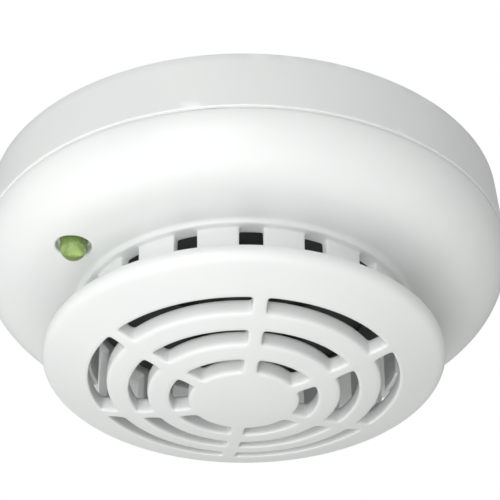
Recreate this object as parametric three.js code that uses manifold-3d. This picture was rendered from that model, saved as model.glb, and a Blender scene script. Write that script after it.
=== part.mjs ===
// Ceiling heat detector: a twist-lock base and the detector head that hangs in it.
// Millimetres, +Z up. The origin is the centre of the base on the ceiling plane, so every
// solid lies below z = 0. Depths are written as positive distances below the ceiling.
import * as THREE from 'three';
import { mergeVertices } from 'three/addons/utils/BufferGeometryUtils.js';
import Module from 'manifold-3d';

const wasm = await Module();
wasm.setup();

// ---- overall form -------------------------------------------------------------------------
const BODY_R = 51.2;            // widest radius, at the seam between base and head
const CEILING_R = 50.0;         // radius of the base collar against the ceiling
const SEAM_DEPTH = 12.9;        // height of the base collar
const HEIGHT = 44.4;            // ceiling to the lowest point of the domed grille
const FIT = 0.3;                // gap left between pieces that touch in the real thing
const WALL = 2.2;               // moulded wall of the base and the cover
const FINE = 60;                // facets round the large mouldings
const COARSE = 12;              // facets round small hardware

// ---- cover ----------------------------------------------------------------------------------
const UNDERSIDE_DEPTH = 24.0;   // depth of the underside where it leaves the shoulder
const NECK_R = 31.2;
const NECK_WALL = 2.0;
const NECK_STEP = 1.6;          // how far the small step at the root of the neck stands out
const UNDERSIDE_WIDTH = 7.2;    // ring of underside between that step and the rounded shoulder
const UNDERSIDE_FALL = 0.4;     // the underside drops this much towards the neck
const STEP_HEIGHT = 0.9;
const WINDOW_COUNT = 16;
const WINDOW_WIDTH = 4.4;
const WINDOW_PHASE = -87.5;     // degrees from +X to the first window's centre
const BOSS_R = 3.2;
const BOSS_MARGIN = 1.0;        // between the heads of the cover screws and the wall of the chassis
const BOSS_ANGLES = [30, 150, 270];

// ---- domed grille cap -----------------------------------------------------------------------
const CAP_OVERHANG = 7.2;       // how far the cap stands out past the neck
const CAP_THICKNESS = 3.25;
const CAP_RIM = 2.7;            // thickness at the rim
const AIR_GAP = 9.6;            // between the underside and the rim of the cap
const CAP_EDGE = 1.3;           // rounding of the rim
const SLOT_RINGS = 3;
const SLOT_OPENING = 3.5;       // radial width of a ring of slots
const SLOT_PITCH = 7.75;
const SPOKE_COUNT = 6;
const SPOKE_WIDTH = 2.7;
const SPOKE_PHASE = -84;        // degrees from +X to the first spoke
const CLIP_SPOKES = [2, 5];     // the spokes that carry a snap clip
const CLIP_HEIGHT = 6.5;
const CLIP_THICKNESS = 1.6;
const CLIP_ARC = 4.8;           // degrees

// ---- base -----------------------------------------------------------------------------------
const FLOOR_TOP = 3.0;          // depth of the back face of the floor
const FLOOR_THICKNESS = 2.0;
const WIRE_HOLE_R = 12.0;
const HUB_WALL = 2.0;           // ring round the wire hole
const SLOT_SPACING = 60.0;      // between the two screw slots
const SLOT_LENGTH = 14.0;
const SLOT_WIDTH = 4.5;
const RIB_COUNT = 8;
const RIB_WIDTH = 1.6;
const RIB_PHASE = 22.5;

// ---- twist lock -------------------------------------------------------------------------------
const LUG_COUNT = 3;
const LUG_DEPTH = 9.5;          // upper face of the base's lugs
const LUG_THICKNESS = 1.5;
const LUG_REACH = 2.9;          // how far the base's lugs stand in from the collar
const BASE_LUG_ARC = 20;        // degrees
const HEAD_LUG_ARC = 16;
const STOP_ARC = 2;
const STOP_RISE = 2;            // height of the end stop above the lug
const LUG_PHASE = 90;
const RUNNING_GAP = 0.5;        // between the turning head and the collar

// ---- terminals and contacts ---------------------------------------------------------------------
const TERMINAL_COUNT = 4;
const TERMINAL_PHASE = 45;
const TERMINAL_RADIUS = 31.0;
const PAD_HEIGHT = 0.8;
const METAL = 0.8;              // thickness of the contact metal
const TERMINAL_WIDTH = 8.0;
const TERMINAL_LENGTH = 9.0;
const LEAF_REACH = 9.0;         // free length of the spring leaf
const LEAF_DROP = 2.1;
const SCREW_R = 1.5;
const SCREW_HOLE_R = SCREW_R + FIT;
const SCREW_HEAD_R = 3.0;
const SCREW_HEAD = 1.9;
const TERMINAL_BOSS_R = 3.6;

// ---- chassis, board and sensor ----------------------------------------------------------------
const CHASSIS_DEPTH = 11.4;     // upper face of the chassis plate
const CHASSIS_THICKNESS = 1.6;
const BLADE_LENGTH = 12.0;
const BLADE_WIDTH = 6.5;
const BLADE_RISE = 1.0;
const BLADE_LEAD = 16;          // degrees from a terminal's screw to the middle of its blade
const BOARD_DEPTH = 15.8;
const BOARD_THICKNESS = 1.6;
const BOARD_MARGIN = 3.1;       // board beyond the centre of the light
const POST_R = 3.2;
const POST_RADIUS = 20.0;
const LED_R = 2.5;
const LED_OFFSET = 6.1;         // from the step of the neck to the centre of the light
const LED_ANGLE = 216;
const LED_HOLE_R = LED_R + 0.85;
const LED_FLANGE = 1.0;
const LED_FLANGE_R = LED_R + 0.4;
const LED_STANDOFF = 2.2;       // back of the light below the board
const LED_WELL_WALL = 1.2;      // tube inside the cover that keeps dust and stray light out
const LED_WELL_GAP = 1.0;       // between that tube and the board
const LED_PROUD = 2.8;          // how far the lens stands below the underside
const CARRIER_RECESS = 1.3;     // back of the sensor carrier above the underside
const CARRIER_PLATE = 1.5;
const CARRIER_BEAD = 0.6;       // height and half the width of its stiffening bead
const CARRIER_BEAD_INSET = 5.0;
const TURRET_R = 8.0;
const TURRET_HEIGHT = 6.8;
const BEAD_R = 1.7;             // of the sensing bead
const BORE_R = BEAD_R + 3 * FIT;
const BEAD_CLEARANCE = 4.5;     // from the middle of the bead to the inside of the cap
const LEG_R = 0.3;
const LEG_SPACING = 1.6;
const REFERENCE = { r: 1.3, legs: 2.0, radius: 33, angle: 100 };
const MICROCONTROLLER = { radial: 6, tangential: 5, height: 1.6, radius: 14, angle: 62 };
const RECTIFIER = { radial: 5, tangential: 6.5, height: 2.4, radius: 26, angle: 320 };
const CAPACITOR = { r: 2.2, length: 8, radius: 27, angle: 128 };

const SEAM_INNER_R = BODY_R - WALL - 1.0;
const FLOOR_BOTTOM = FLOOR_TOP + FLOOR_THICKNESS;
const CHASSIS_LOW = CHASSIS_DEPTH + CHASSIS_THICKNESS;
const BOARD_LOW = BOARD_DEPTH + BOARD_THICKNESS;
const HANG = BOARD_LOW + FIT;   // where the parts under the board begin
const LED_BACK = BOARD_LOW + LED_STANDOFF;
const SEAM_GAP_DEPTH = SEAM_DEPTH + FIT;
const NECK_INNER_R = NECK_R - NECK_WALL;
const NECK_STEP_R = NECK_R + NECK_STEP;
const SHOULDER_R = NECK_STEP_R + UNDERSIDE_WIDTH;
const CAP_R = NECK_R + CAP_OVERHANG;
const DOME_RISE = HEIGHT - (UNDERSIDE_DEPTH + AIR_GAP + CAP_RIM);
const CHASSIS_R = SEAM_INNER_R - RUNNING_GAP;
const LUG_INNER_R = SEAM_INNER_R - LUG_REACH;
const LUG_WALL_R = LUG_INNER_R - RUNNING_GAP;
const LUG_WALL_INNER_R = LUG_WALL_R - CHASSIS_THICKNESS;
const BOSS_RADIUS = LUG_WALL_INNER_R - BOSS_MARGIN - SCREW_HEAD_R;
const LED_RADIUS = NECK_STEP_R + LED_OFFSET;
const BOARD_R = LED_RADIUS + BOARD_MARGIN;
const NECK_BOTTOM = domeDepth(NECK_R) - CAP_THICKNESS - FIT;
const CARRIER_DEPTH = UNDERSIDE_DEPTH - CARRIER_RECESS;
const CARRIER_LOW = CARRIER_DEPTH + CARRIER_PLATE;
const BEAD_DEPTH = HEIGHT - CAP_THICKNESS - BEAD_CLEARANCE;
const SLOT_BANDS = Array.from({ length: SLOT_RINGS }, (_, i) => {
  const outer = NECK_INNER_R + FIT - SLOT_PITCH * (SLOT_RINGS - 1 - i);
  return [outer - SLOT_OPENING, outer];
});
const radians = THREE.MathUtils.degToRad;

/** Depth of the dome's outer face at a distance from the axis. */
function domeDepth(r) {
  return HEIGHT - DOME_RISE * (r / CAP_R) ** 2;
}

// ---- small geometry helpers -----------------------------------------------------------------------

/** Shared-vertex copy of a geometry, wound so that its faces look outwards. */
function closed(geometry) {
  const bare = geometry.clone();
  bare.deleteAttribute('normal');
  bare.deleteAttribute('uv');
  const merged = mergeVertices(bare, 1e-5);
  const p = merged.attributes.position;
  const index = merged.index.array;
  const a = new THREE.Vector3();
  const b = new THREE.Vector3();
  const c = new THREE.Vector3();
  let volume = 0;
  for (let i = 0; i < index.length; i += 3) {
    a.fromBufferAttribute(p, index[i]);
    b.fromBufferAttribute(p, index[i + 1]);
    c.fromBufferAttribute(p, index[i + 2]);
    volume += a.dot(b.cross(c));
  }
  if (volume < 0) {
    for (let i = 0; i < index.length; i += 3) {
      [index[i], index[i + 1]] = [index[i + 1], index[i]];
    }
  }
  return merged;
}

function toSolid(geometry) {
  const g = closed(geometry);
  return new wasm.Manifold(new wasm.Mesh({
    numProp: 3,
    vertProperties: new Float32Array(g.attributes.position.array),
    triVerts: new Uint32Array(g.index.array),
  }));
}

function toGeometry(solid) {
  const mesh = solid.getMesh();
  const g = new THREE.BufferGeometry();
  g.setAttribute('position', new THREE.BufferAttribute(new Float32Array(mesh.vertProperties), 3));
  g.setIndex(new THREE.BufferAttribute(new Uint32Array(mesh.triVerts), 1));
  g.computeVertexNormals();
  return g;
}

/** Body of revolution about Z from [radius, depth] pairs. */
function turned(profile, facets) {
  const points = profile.map(([r, depth]) => new THREE.Vector2(r, -depth));
  const ends = [profile[0], profile[profile.length - 1]];
  if (ends.some(([r]) => r > 0)) points.push(points[0].clone());
  const g = new THREE.LatheGeometry(points, facets);
  g.rotateX(Math.PI / 2);
  return g;
}

/** Upright cylinder between two depths. */
function rod(r, top, bottom, facets = COARSE) {
  const g = new THREE.CylinderGeometry(r, r, bottom - top, facets);
  g.rotateX(Math.PI / 2);
  g.translate(0, 0, -(top + bottom) / 2);
  return g;
}

/** Box with its size along the radius, along the tangent, and its two depths. */
function block(radial, tangential, top, bottom) {
  const g = new THREE.BoxGeometry(radial, tangential, bottom - top);
  g.translate(0, 0, -(top + bottom) / 2);
  return g;
}

/** Piece of a ring between two radii, two angles in degrees and two depths. */
function arcBlock(r0, r1, from, to, top, bottom, steps) {
  const shape = new THREE.Shape();
  const arc = (r, a0, a1, start) => {
    for (let i = 0; i <= steps; i += 1) {
      const a = radians(a0 + (a1 - a0) * i / steps);
      const point = [r * Math.cos(a), r * Math.sin(a)];
      if (start && i === 0) shape.moveTo(...point);
      else shape.lineTo(...point);
    }
  };
  arc(r1, from, to, true);
  arc(r0, to, from, false);
  const g = new THREE.ExtrudeGeometry(shape, { depth: bottom - top, bevelEnabled: false });
  g.translate(0, 0, -bottom);
  return g;
}

/** Strip of metal whose edge profile is drawn in tangent and depth, as wide as the radius span. */
function strip(profile, width) {
  const shape = new THREE.Shape(profile.map(([t, depth]) => new THREE.Vector2(t, -depth)));
  const g = new THREE.ExtrudeGeometry(shape, { depth: width, bevelEnabled: false });
  g.translate(0, 0, -width / 2);
  g.rotateX(Math.PI / 2);
  g.rotateZ(Math.PI / 2);
  return g;
}

/** Moves a geometry out along +X and then round the axis. */
function placed(geometry, radius, degrees) {
  const g = geometry.clone();
  g.translate(radius, 0, 0);
  g.rotateZ(radians(degrees));
  return g;
}

const evenly = (count, phase) => Array.from({ length: count }, (_, i) => phase + 360 * i / count);

/** Adds and then cuts a list of geometries. */
function shaped(start, additions, cuts) {
  let solid = toSolid(start);
  for (const g of additions) solid = solid.add(toSolid(g));
  for (const g of cuts) solid = solid.subtract(toSolid(g));
  return toGeometry(solid);
}

// ---- materials -----------------------------------------------------------------------------------
const finish = (color, roughness, metalness) => () => (
  new THREE.MeshStandardMaterial({ color, roughness, metalness }));
const whitePlastic = finish(0xf1f2f0, 0.42, 0);
const blackPlastic = finish(0x1c1f1e, 0.55, 0);
const nickel = finish(0xb9bbb8, 0.32, 1);
const steel = finish(0xa9abac, 0.35, 1);
const boardGreen = finish(0x1f5a38, 0.5, 0);
const lensGreen = finish(0x8fbf6a, 0.25, 0);
const epoxy = finish(0x2b2622, 0.4, 0);
const chipBlack = finish(0x202224, 0.6, 0);
const sleeveBlue = finish(0x27364f, 0.4, 0);

function part(parent, name, geometry, material) {
  const skin = closed(geometry);
  skin.computeVertexNormals();
  const mesh = new THREE.Mesh(skin, material());
  mesh.name = name;
  parent.add(mesh);
  return mesh;
}

// ---- pieces ----------------------------------------------------------------------------------------

/** Pan-head screw with its head below the seat, shank pointing up from the seat. */
function screwDown(seat, tip) {
  const low = seat + SCREW_HEAD;
  const body = turned([
    [0, tip], [SCREW_R - 0.4, tip], [SCREW_R, tip + 0.5], [SCREW_R, seat],
    [SCREW_HEAD_R, seat], [SCREW_HEAD_R, low - 0.8], [SCREW_HEAD_R - 0.8, low], [0, low],
  ], COARSE);
  const bar = block(0.8, 2 * SCREW_HEAD_R - 2.2, low - 1.0, low + 1);
  const cross = bar.clone();
  cross.rotateZ(Math.PI / 2);
  return shaped(body, [], [bar, cross]);
}

/** The same screw driven the other way: head above the seat, shank pointing down. */
function screwUp(seat, tip) {
  const g = screwDown(0, seat - tip);
  g.rotateX(Math.PI);
  g.translate(0, 0, -seat);
  return g;
}

function basePlate() {
  const start = turned([
    [CEILING_R, 0], [BODY_R, SEAM_DEPTH], [SEAM_INNER_R, SEAM_DEPTH],
    [SEAM_INNER_R, FLOOR_BOTTOM], [WIRE_HOLE_R, FLOOR_BOTTOM], [WIRE_HOLE_R, 0],
    [WIRE_HOLE_R + HUB_WALL, 0], [WIRE_HOLE_R + HUB_WALL, FLOOR_TOP],
    [CEILING_R - WALL, FLOOR_TOP], [CEILING_R - WALL, 0],
  ], FINE);
  const additions = [];
  const cuts = [];
  for (const a of evenly(RIB_COUNT, RIB_PHASE)) {
    const inner = WIRE_HOLE_R + HUB_WALL / 2;
    const outer = CEILING_R - WALL / 2;
    additions.push(placed(block(outer - inner, RIB_WIDTH, 0.4, FLOOR_TOP + 0.5), (inner + outer) / 2, a));
  }
  for (const a of evenly(TERMINAL_COUNT, TERMINAL_PHASE)) {
    const pad = block(TERMINAL_WIDTH + 2, TERMINAL_LENGTH + 2, FLOOR_TOP + 0.5, FLOOR_BOTTOM + PAD_HEIGHT);
    additions.push(placed(pad, TERMINAL_RADIUS, a));
    additions.push(placed(rod(TERMINAL_BOSS_R, 0.4, FLOOR_TOP + 0.5), TERMINAL_RADIUS, a));
    cuts.push(placed(rod(SCREW_HOLE_R, 1.4, FLOOR_BOTTOM + 2), TERMINAL_RADIUS, a));
  }
  for (const a of evenly(LUG_COUNT, LUG_PHASE)) {
    const half = BASE_LUG_ARC / 2;
    const low = LUG_DEPTH + LUG_THICKNESS;
    const out = SEAM_INNER_R + 1;
    additions.push(arcBlock(LUG_INNER_R, out, a - half, a + half, LUG_DEPTH, low, 4));
    additions.push(arcBlock(LUG_INNER_R, out, a + half - STOP_ARC / 2, a + half + STOP_ARC / 2,
      LUG_DEPTH - STOP_RISE, low, 1));
  }
  for (const side of [0, 180]) {
    const slot = block(SLOT_LENGTH - SLOT_WIDTH, SLOT_WIDTH, FLOOR_TOP - 1, FLOOR_BOTTOM + 1);
    cuts.push(placed(slot, SLOT_SPACING / 2, side));
    for (const end of [-1, 1]) {
      const x = SLOT_SPACING / 2 + end * (SLOT_LENGTH - SLOT_WIDTH) / 2;
      cuts.push(placed(rod(SLOT_WIDTH / 2, FLOOR_TOP - 1, FLOOR_BOTTOM + 1), x, side));
    }
  }
  return shaped(start, additions, cuts);
}

const TERMINAL_TOP = FLOOR_BOTTOM + PAD_HEIGHT + FIT;

function terminalPlate() {
  const half = TERMINAL_LENGTH / 2;
  const bend = half + LEAF_REACH - 3;
  const low = TERMINAL_TOP + LEAF_DROP;
  const sheet = strip([
    [-half, TERMINAL_TOP], [half, TERMINAL_TOP], [bend, low], [bend + 3, low - 0.8],
    [bend + 3, low - 0.8 + METAL], [bend, low + METAL], [half - 0.3, TERMINAL_TOP + METAL],
    [-half, TERMINAL_TOP + METAL],
  ], TERMINAL_WIDTH);
  return shaped(sheet, [], [rod(SCREW_HOLE_R, TERMINAL_TOP - 1, TERMINAL_TOP + METAL + 1)]);
}

function chassis() {
  const lugLow = LUG_DEPTH - FIT;
  const lugTop = lugLow - LUG_THICKNESS;
  const start = turned([
    [0, CHASSIS_DEPTH], [0, CHASSIS_LOW], [CHASSIS_R, CHASSIS_LOW], [CHASSIS_R, CHASSIS_DEPTH],
    [LUG_WALL_R, CHASSIS_DEPTH], [LUG_WALL_R, lugTop],
    [LUG_WALL_INNER_R, lugTop], [LUG_WALL_INNER_R, CHASSIS_DEPTH],
  ].reverse(), FINE);
  const additions = [];
  const cuts = [];
  for (const a of evenly(LUG_COUNT, LUG_PHASE)) {
    const half = HEAD_LUG_ARC / 2;
    additions.push(arcBlock(LUG_WALL_INNER_R + 0.5, CHASSIS_R, a - half, a + half, lugTop, lugLow, 3));
  }
  for (const side of [0, 180]) {
    additions.push(placed(rod(POST_R, CHASSIS_LOW - 0.5, BOARD_DEPTH - FIT), POST_RADIUS, side));
    cuts.push(placed(rod(SCREW_HOLE_R, CHASSIS_LOW - 0.6, BOARD_DEPTH), POST_RADIUS, side));
  }
  for (const a of BOSS_ANGLES) {
    cuts.push(placed(rod(SCREW_HOLE_R, CHASSIS_DEPTH - 1, CHASSIS_LOW + 1), BOSS_RADIUS, a));
  }
  return shaped(start, additions, cuts);
}

function contactBlade() {
  const half = BLADE_LENGTH / 2;
  const foot = CHASSIS_DEPTH - FIT;
  const top = foot - METAL - BLADE_RISE;
  return strip([
    [-half, foot], [-half, foot - METAL], [-half + 2, foot - METAL], [-half + 3, top],
    [half - 3, top], [half - 2, foot - METAL], [half, foot - METAL], [half, foot],
    [half - 2.4, foot], [half - 3.4, top + METAL], [-half + 3.4, top + METAL], [-half + 2.4, foot],
  ], BLADE_WIDTH);
}

/** Depth of the cover's skin at a distance from the axis, or of a skin inside it. */
function coverDepth(r, inset) {
  const reach = Math.max(0, r - SHOULDER_R) / (BODY_R - SHOULDER_R - inset);
  return SEAM_GAP_DEPTH + (UNDERSIDE_DEPTH - SEAM_GAP_DEPTH - inset) * Math.sqrt(1 - reach ** 2);
}

const BOSS_LOW = coverDepth(BOSS_RADIUS + BOSS_R, WALL / 2);
const BOSS_HOLE_LOW = BOSS_LOW - WALL / 2 - 0.4;

/** Points of the quarter-ellipse shoulder, pulled in by an inset. */
function shoulder(inset, steps) {
  const points = [];
  const rx = BODY_R - SHOULDER_R - inset;
  const rz = UNDERSIDE_DEPTH - SEAM_GAP_DEPTH - inset;
  for (let i = 0; i <= steps; i += 1) {
    const a = (Math.PI / 2) * i / steps;
    points.push([SHOULDER_R + rx * Math.cos(a), SEAM_GAP_DEPTH + rz * Math.sin(a)]);
  }
  return points;
}

function cover() {
  const root = UNDERSIDE_DEPTH + UNDERSIDE_FALL;
  const windowTop = root + STEP_HEIGHT;
  const start = turned([
    ...shoulder(0, 8),
    [NECK_STEP_R, root],
    [NECK_STEP_R - 0.3, windowTop - 0.3],
    [NECK_R, windowTop],
    [NECK_R, NECK_BOTTOM],
    [NECK_INNER_R, NECK_BOTTOM],
    [NECK_INNER_R, root - WALL],
    ...shoulder(WALL, 6).reverse(),
  ], FINE);
  const additions = BOSS_ANGLES.map((a) => placed(
    rod(BOSS_R, CHASSIS_LOW + FIT, BOSS_LOW), BOSS_RADIUS, a));
  const cuts = evenly(WINDOW_COUNT, WINDOW_PHASE).map((a) => placed(
    block(NECK_WALL * 3, WINDOW_WIDTH, windowTop, NECK_BOTTOM + 1), NECK_R - NECK_WALL / 2, a));
  for (const a of BOSS_ANGLES) {
    cuts.push(placed(rod(SCREW_HOLE_R, CHASSIS_DEPTH, BOSS_HOLE_LOW), BOSS_RADIUS, a));
  }
  const wellTop = BOARD_LOW + LED_WELL_GAP;
  const well = rod(LED_HOLE_R + LED_WELL_WALL, wellTop, UNDERSIDE_DEPTH - WALL / 2, 20);
  additions.push(placed(well, LED_RADIUS, LED_ANGLE));
  const ledHole = rod(LED_HOLE_R, wellTop - 1, UNDERSIDE_DEPTH + 2, 20);
  cuts.push(placed(ledHole, LED_RADIUS, LED_ANGLE));
  return shaped(start, additions, cuts);
}

/** One ring of the domed cap between two radii. */
function domeRing(r0, r1, facets) {
  return turned([
    [r0, domeDepth(r0) - CAP_THICKNESS], [r0, domeDepth(r0)],
    [r1, domeDepth(r1)], [r1, domeDepth(r1) - CAP_THICKNESS],
  ], facets);
}

/** Radial bar that follows the dome, a little inside its two faces. */
function spoke(r0, r1) {
  const sink = 0.1;
  const radii = [r0, (r0 + r1) / 2, r1];
  const outer = radii.map((r) => [r, domeDepth(r) - sink]);
  const inner = radii.map((r) => [r, domeDepth(r) - CAP_THICKNESS + sink]).reverse();
  const shape = new THREE.Shape([...outer, ...inner].map(([r, depth]) => new THREE.Vector2(r, -depth)));
  const g = new THREE.ExtrudeGeometry(shape, { depth: SPOKE_WIDTH, bevelEnabled: false });
  g.translate(0, 0, -SPOKE_WIDTH / 2);
  g.rotateX(Math.PI / 2);
  return g;
}

function grilleCap() {
  const edge = domeDepth(CAP_R - CAP_EDGE);
  const rimTop = domeDepth(CAP_R) - CAP_RIM;
  const [innermost] = SLOT_BANDS;
  const outermost = SLOT_BANDS[SLOT_RINGS - 1];
  const middle = (outermost[1] + CAP_R - CAP_EDGE) / 2;
  const rim = turned([
    [outermost[1], domeDepth(outermost[1]) - CAP_THICKNESS], [outermost[1], domeDepth(outermost[1])],
    [middle, domeDepth(middle)], [CAP_R - CAP_EDGE, edge], [CAP_R - 0.35, edge - 0.65],
    [CAP_R, edge - CAP_EDGE - 0.2], [CAP_R - 0.1, rimTop + 0.5], [CAP_R - 0.7, rimTop + 0.05],
  ], FINE);
  const hub = turned([
    [0, domeDepth(0) - CAP_THICKNESS], [0, domeDepth(0)], [innermost[0], domeDepth(innermost[0])],
    [innermost[0], domeDepth(innermost[0]) - CAP_THICKNESS],
  ], 48);
  const spokes = evenly(SPOKE_COUNT, SPOKE_PHASE).map(
    (a) => placed(spoke(innermost[0] - 2, outermost[1] + 2), 0, a));
  const clipOut = NECK_INNER_R - FIT;
  const low = domeDepth(clipOut) - CAP_THICKNESS / 2;
  const clips = CLIP_SPOKES.map((i) => {
    const a = SPOKE_PHASE + 360 * i / SPOKE_COUNT;
    return arcBlock(clipOut - CLIP_THICKNESS, clipOut, a - CLIP_ARC / 2, a + CLIP_ARC / 2,
      low - CLIP_HEIGHT, low, 1);
  });
  const rings = SLOT_BANDS.slice(1).map((band, i) => domeRing(SLOT_BANDS[i][1], band[0], FINE));
  return shaped(rim, [hub, ...rings, ...spokes, ...clips], []);
}

function board() {
  const disc = rod(BOARD_R, BOARD_DEPTH, BOARD_LOW, FINE);
  const cuts = [];
  const through = (r, radius, a) => cuts.push(
    placed(rod(r, BOARD_DEPTH - 1, BOARD_LOW + 1), radius, a));
  for (const a of BOSS_ANGLES) through(BOSS_R + 0.6, BOSS_RADIUS, a);
  for (const a of [0, 180]) through(SCREW_HOLE_R, POST_RADIUS, a);
  return shaped(disc, [], cuts);
}

function sensorCarrier() {
  const r = NECK_INNER_R - FIT * 2;
  const bead = r - CARRIER_BEAD_INSET;
  const turretLow = CARRIER_LOW + TURRET_HEIGHT;
  return turned([
    [BORE_R, CARRIER_DEPTH], [BORE_R, turretLow], [TURRET_R - 2.5, turretLow], [TURRET_R, CARRIER_LOW],
    [bead - CARRIER_BEAD, CARRIER_LOW], [bead - CARRIER_BEAD, CARRIER_LOW + CARRIER_BEAD],
    [bead + CARRIER_BEAD, CARRIER_LOW + CARRIER_BEAD], [bead + CARRIER_BEAD, CARRIER_LOW],
    [r, CARRIER_LOW], [r, CARRIER_DEPTH],
  ], 48);
}

function thermistor() {
  const legs = [-1, 1].map((side) => placed(rod(LEG_R, HANG, BEAD_DEPTH, 8), side * LEG_SPACING / 2, 0));
  const bead = turned([
    [0, BEAD_DEPTH - 2.2], [BEAD_R * 0.7, BEAD_DEPTH - 1.7], [BEAD_R, BEAD_DEPTH - 0.6],
    [BEAD_R, BEAD_DEPTH + 0.6], [BEAD_R * 0.7, BEAD_DEPTH + 1.5], [0, BEAD_DEPTH + 1.9],
  ], COARSE);
  return shaped(bead, legs, []);
}

function referenceThermistor() {
  const { r } = REFERENCE;
  const low = HANG + REFERENCE.legs;
  const legs = [-1, 1].map((side) => placed(rod(LEG_R, HANG, low, 6), side * LEG_SPACING / 2, 0));
  const bead = turned([[0, low - 0.6], [r, low - 0.1], [r, low + 0.9], [0, low + 1.4]], COARSE);
  return shaped(bead, legs, []);
}

function led() {
  const centre = UNDERSIDE_DEPTH + LED_PROUD - LED_R;
  const low = LED_BACK + LED_FLANGE;
  const profile = [[0, LED_BACK], [LED_FLANGE_R, LED_BACK], [LED_FLANGE_R, low], [LED_R, low]];
  for (let i = 0; i <= 5; i += 1) {
    const a = (Math.PI / 2) * i / 5;
    profile.push([i === 5 ? 0 : LED_R * Math.cos(a), centre + LED_R * Math.sin(a)]);
  }
  return turned(profile, 20);
}

function ledSpacer() {
  const low = LED_BACK - FIT;
  const bore = LED_R - 1.5;
  return turned([[bore, HANG], [bore, low], [LED_FLANGE_R, low], [LED_FLANGE_R, HANG]], 20);
}

// ---- assembly ------------------------------------------------------------------------------------

const detector = new THREE.Group();
detector.name = 'heat_detector';
const base = new THREE.Group();
base.name = 'base';
const head = new THREE.Group();
head.name = 'head';
detector.add(base, head);

/** Turns a mesh built at the axis out to its radius and angle. */
function seat(mesh, radius, degrees) {
  const a = radians(degrees);
  mesh.position.set(radius * Math.cos(a), radius * Math.sin(a), 0);
  mesh.rotation.z = a;
}

part(base, 'base_plate', basePlate(), whitePlastic);
evenly(TERMINAL_COUNT, TERMINAL_PHASE).forEach((a, i) => {
  seat(part(base, `terminal_${i + 1}`, terminalPlate(), nickel), TERMINAL_RADIUS, a);
  const screw = screwDown(TERMINAL_TOP + METAL + FIT, 1.8);
  seat(part(base, `terminal_screw_${i + 1}`, screw, steel), TERMINAL_RADIUS, a);
  seat(part(head, `contact_blade_${i + 1}`, contactBlade(), nickel), TERMINAL_RADIUS, a + BLADE_LEAD);
});

part(head, 'chassis', chassis(), whitePlastic);
part(head, 'cover', cover(), whitePlastic);
part(head, 'grille_cap', grilleCap(), whitePlastic);
part(head, 'circuit_board', board(), boardGreen);
part(head, 'sensor_carrier', sensorCarrier(), blackPlastic);
part(head, 'thermistor', thermistor(), epoxy);
seat(part(head, 'reference_thermistor', referenceThermistor(), epoxy), REFERENCE.radius, REFERENCE.angle);
seat(part(head, 'status_led', led(), lensGreen), LED_RADIUS, LED_ANGLE);
seat(part(head, 'led_spacer', ledSpacer(), blackPlastic), LED_RADIUS, LED_ANGLE);

BOSS_ANGLES.forEach((a, i) => {
  const screw = screwUp(CHASSIS_DEPTH - FIT, BOSS_HOLE_LOW - 2 * FIT);
  seat(part(head, `cover_screw_${i + 1}`, screw, steel), BOSS_RADIUS, a);
});
[0, 180].forEach((a, i) => {
  const screw = screwDown(HANG, CHASSIS_LOW);
  seat(part(head, `board_screw_${i + 1}`, screw, steel), POST_RADIUS, a);
});

for (const [name, chip] of [['microcontroller', MICROCONTROLLER], ['bridge_rectifier', RECTIFIER]]) {
  const body = block(chip.radial, chip.tangential, HANG, HANG + chip.height);
  seat(part(head, name, body, chipBlack), chip.radius, chip.angle);
}
const can = new THREE.CylinderGeometry(CAPACITOR.r, CAPACITOR.r, CAPACITOR.length, 16);
can.translate(0, 0, -(HANG + CAPACITOR.r + 0.1));
seat(part(head, 'capacitor', can, sleeveBlue), CAPACITOR.radius, CAPACITOR.angle);

export default detector;
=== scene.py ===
import logging
import math
from dataclasses import dataclass, field
from enum import Enum
from typing import Mapping, Optional, Sequence, Union

import bmesh
import bpy
from mathutils import Matrix, Vector


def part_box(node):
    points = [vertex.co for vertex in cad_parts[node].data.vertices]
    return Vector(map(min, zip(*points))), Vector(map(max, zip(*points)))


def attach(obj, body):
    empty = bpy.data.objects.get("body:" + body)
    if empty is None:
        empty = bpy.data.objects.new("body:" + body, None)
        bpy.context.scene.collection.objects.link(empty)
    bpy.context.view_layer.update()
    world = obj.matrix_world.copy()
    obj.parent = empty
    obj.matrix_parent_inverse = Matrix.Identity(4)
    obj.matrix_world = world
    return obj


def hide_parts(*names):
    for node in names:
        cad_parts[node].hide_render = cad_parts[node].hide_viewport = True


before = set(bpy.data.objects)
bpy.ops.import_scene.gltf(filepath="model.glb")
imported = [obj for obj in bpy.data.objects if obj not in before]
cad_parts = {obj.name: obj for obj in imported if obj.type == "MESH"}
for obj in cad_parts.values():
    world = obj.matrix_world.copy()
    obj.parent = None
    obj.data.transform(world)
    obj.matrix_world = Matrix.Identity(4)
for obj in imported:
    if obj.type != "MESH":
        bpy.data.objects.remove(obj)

LOG = logging.getLogger("heat_detector")
MM = 0.001

Pair = tuple[float, float]
Ring = list[bmesh.types.BMVert]
Item = bpy.types.Object
Build = bmesh.types.BMesh
Tree = bpy.types.NodeTree
Node = bpy.types.Node
Socket = bpy.types.NodeSocket

SCREW_HOLE_R = 1.8


class Body(Enum):
    """The two rigid bodies that pieces ride on."""

    BASE = "base"
    HEAD = "head"


class Slot(Enum):
    """Material slots of the record."""

    WHITE = "white_plastic"
    BLACK = "black_plastic"
    CONTACT = "contact_metal"
    SCREW = "screw_steel"
    BOARD = "board"
    LENS = "led_lens"
    BEAD = "bead_epoxy"
    SLEEVE = "capacitor_sleeve"
    CHIP = "chip_package"


# ---- colours and nodes -----------------------------------------------------------------------


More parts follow.
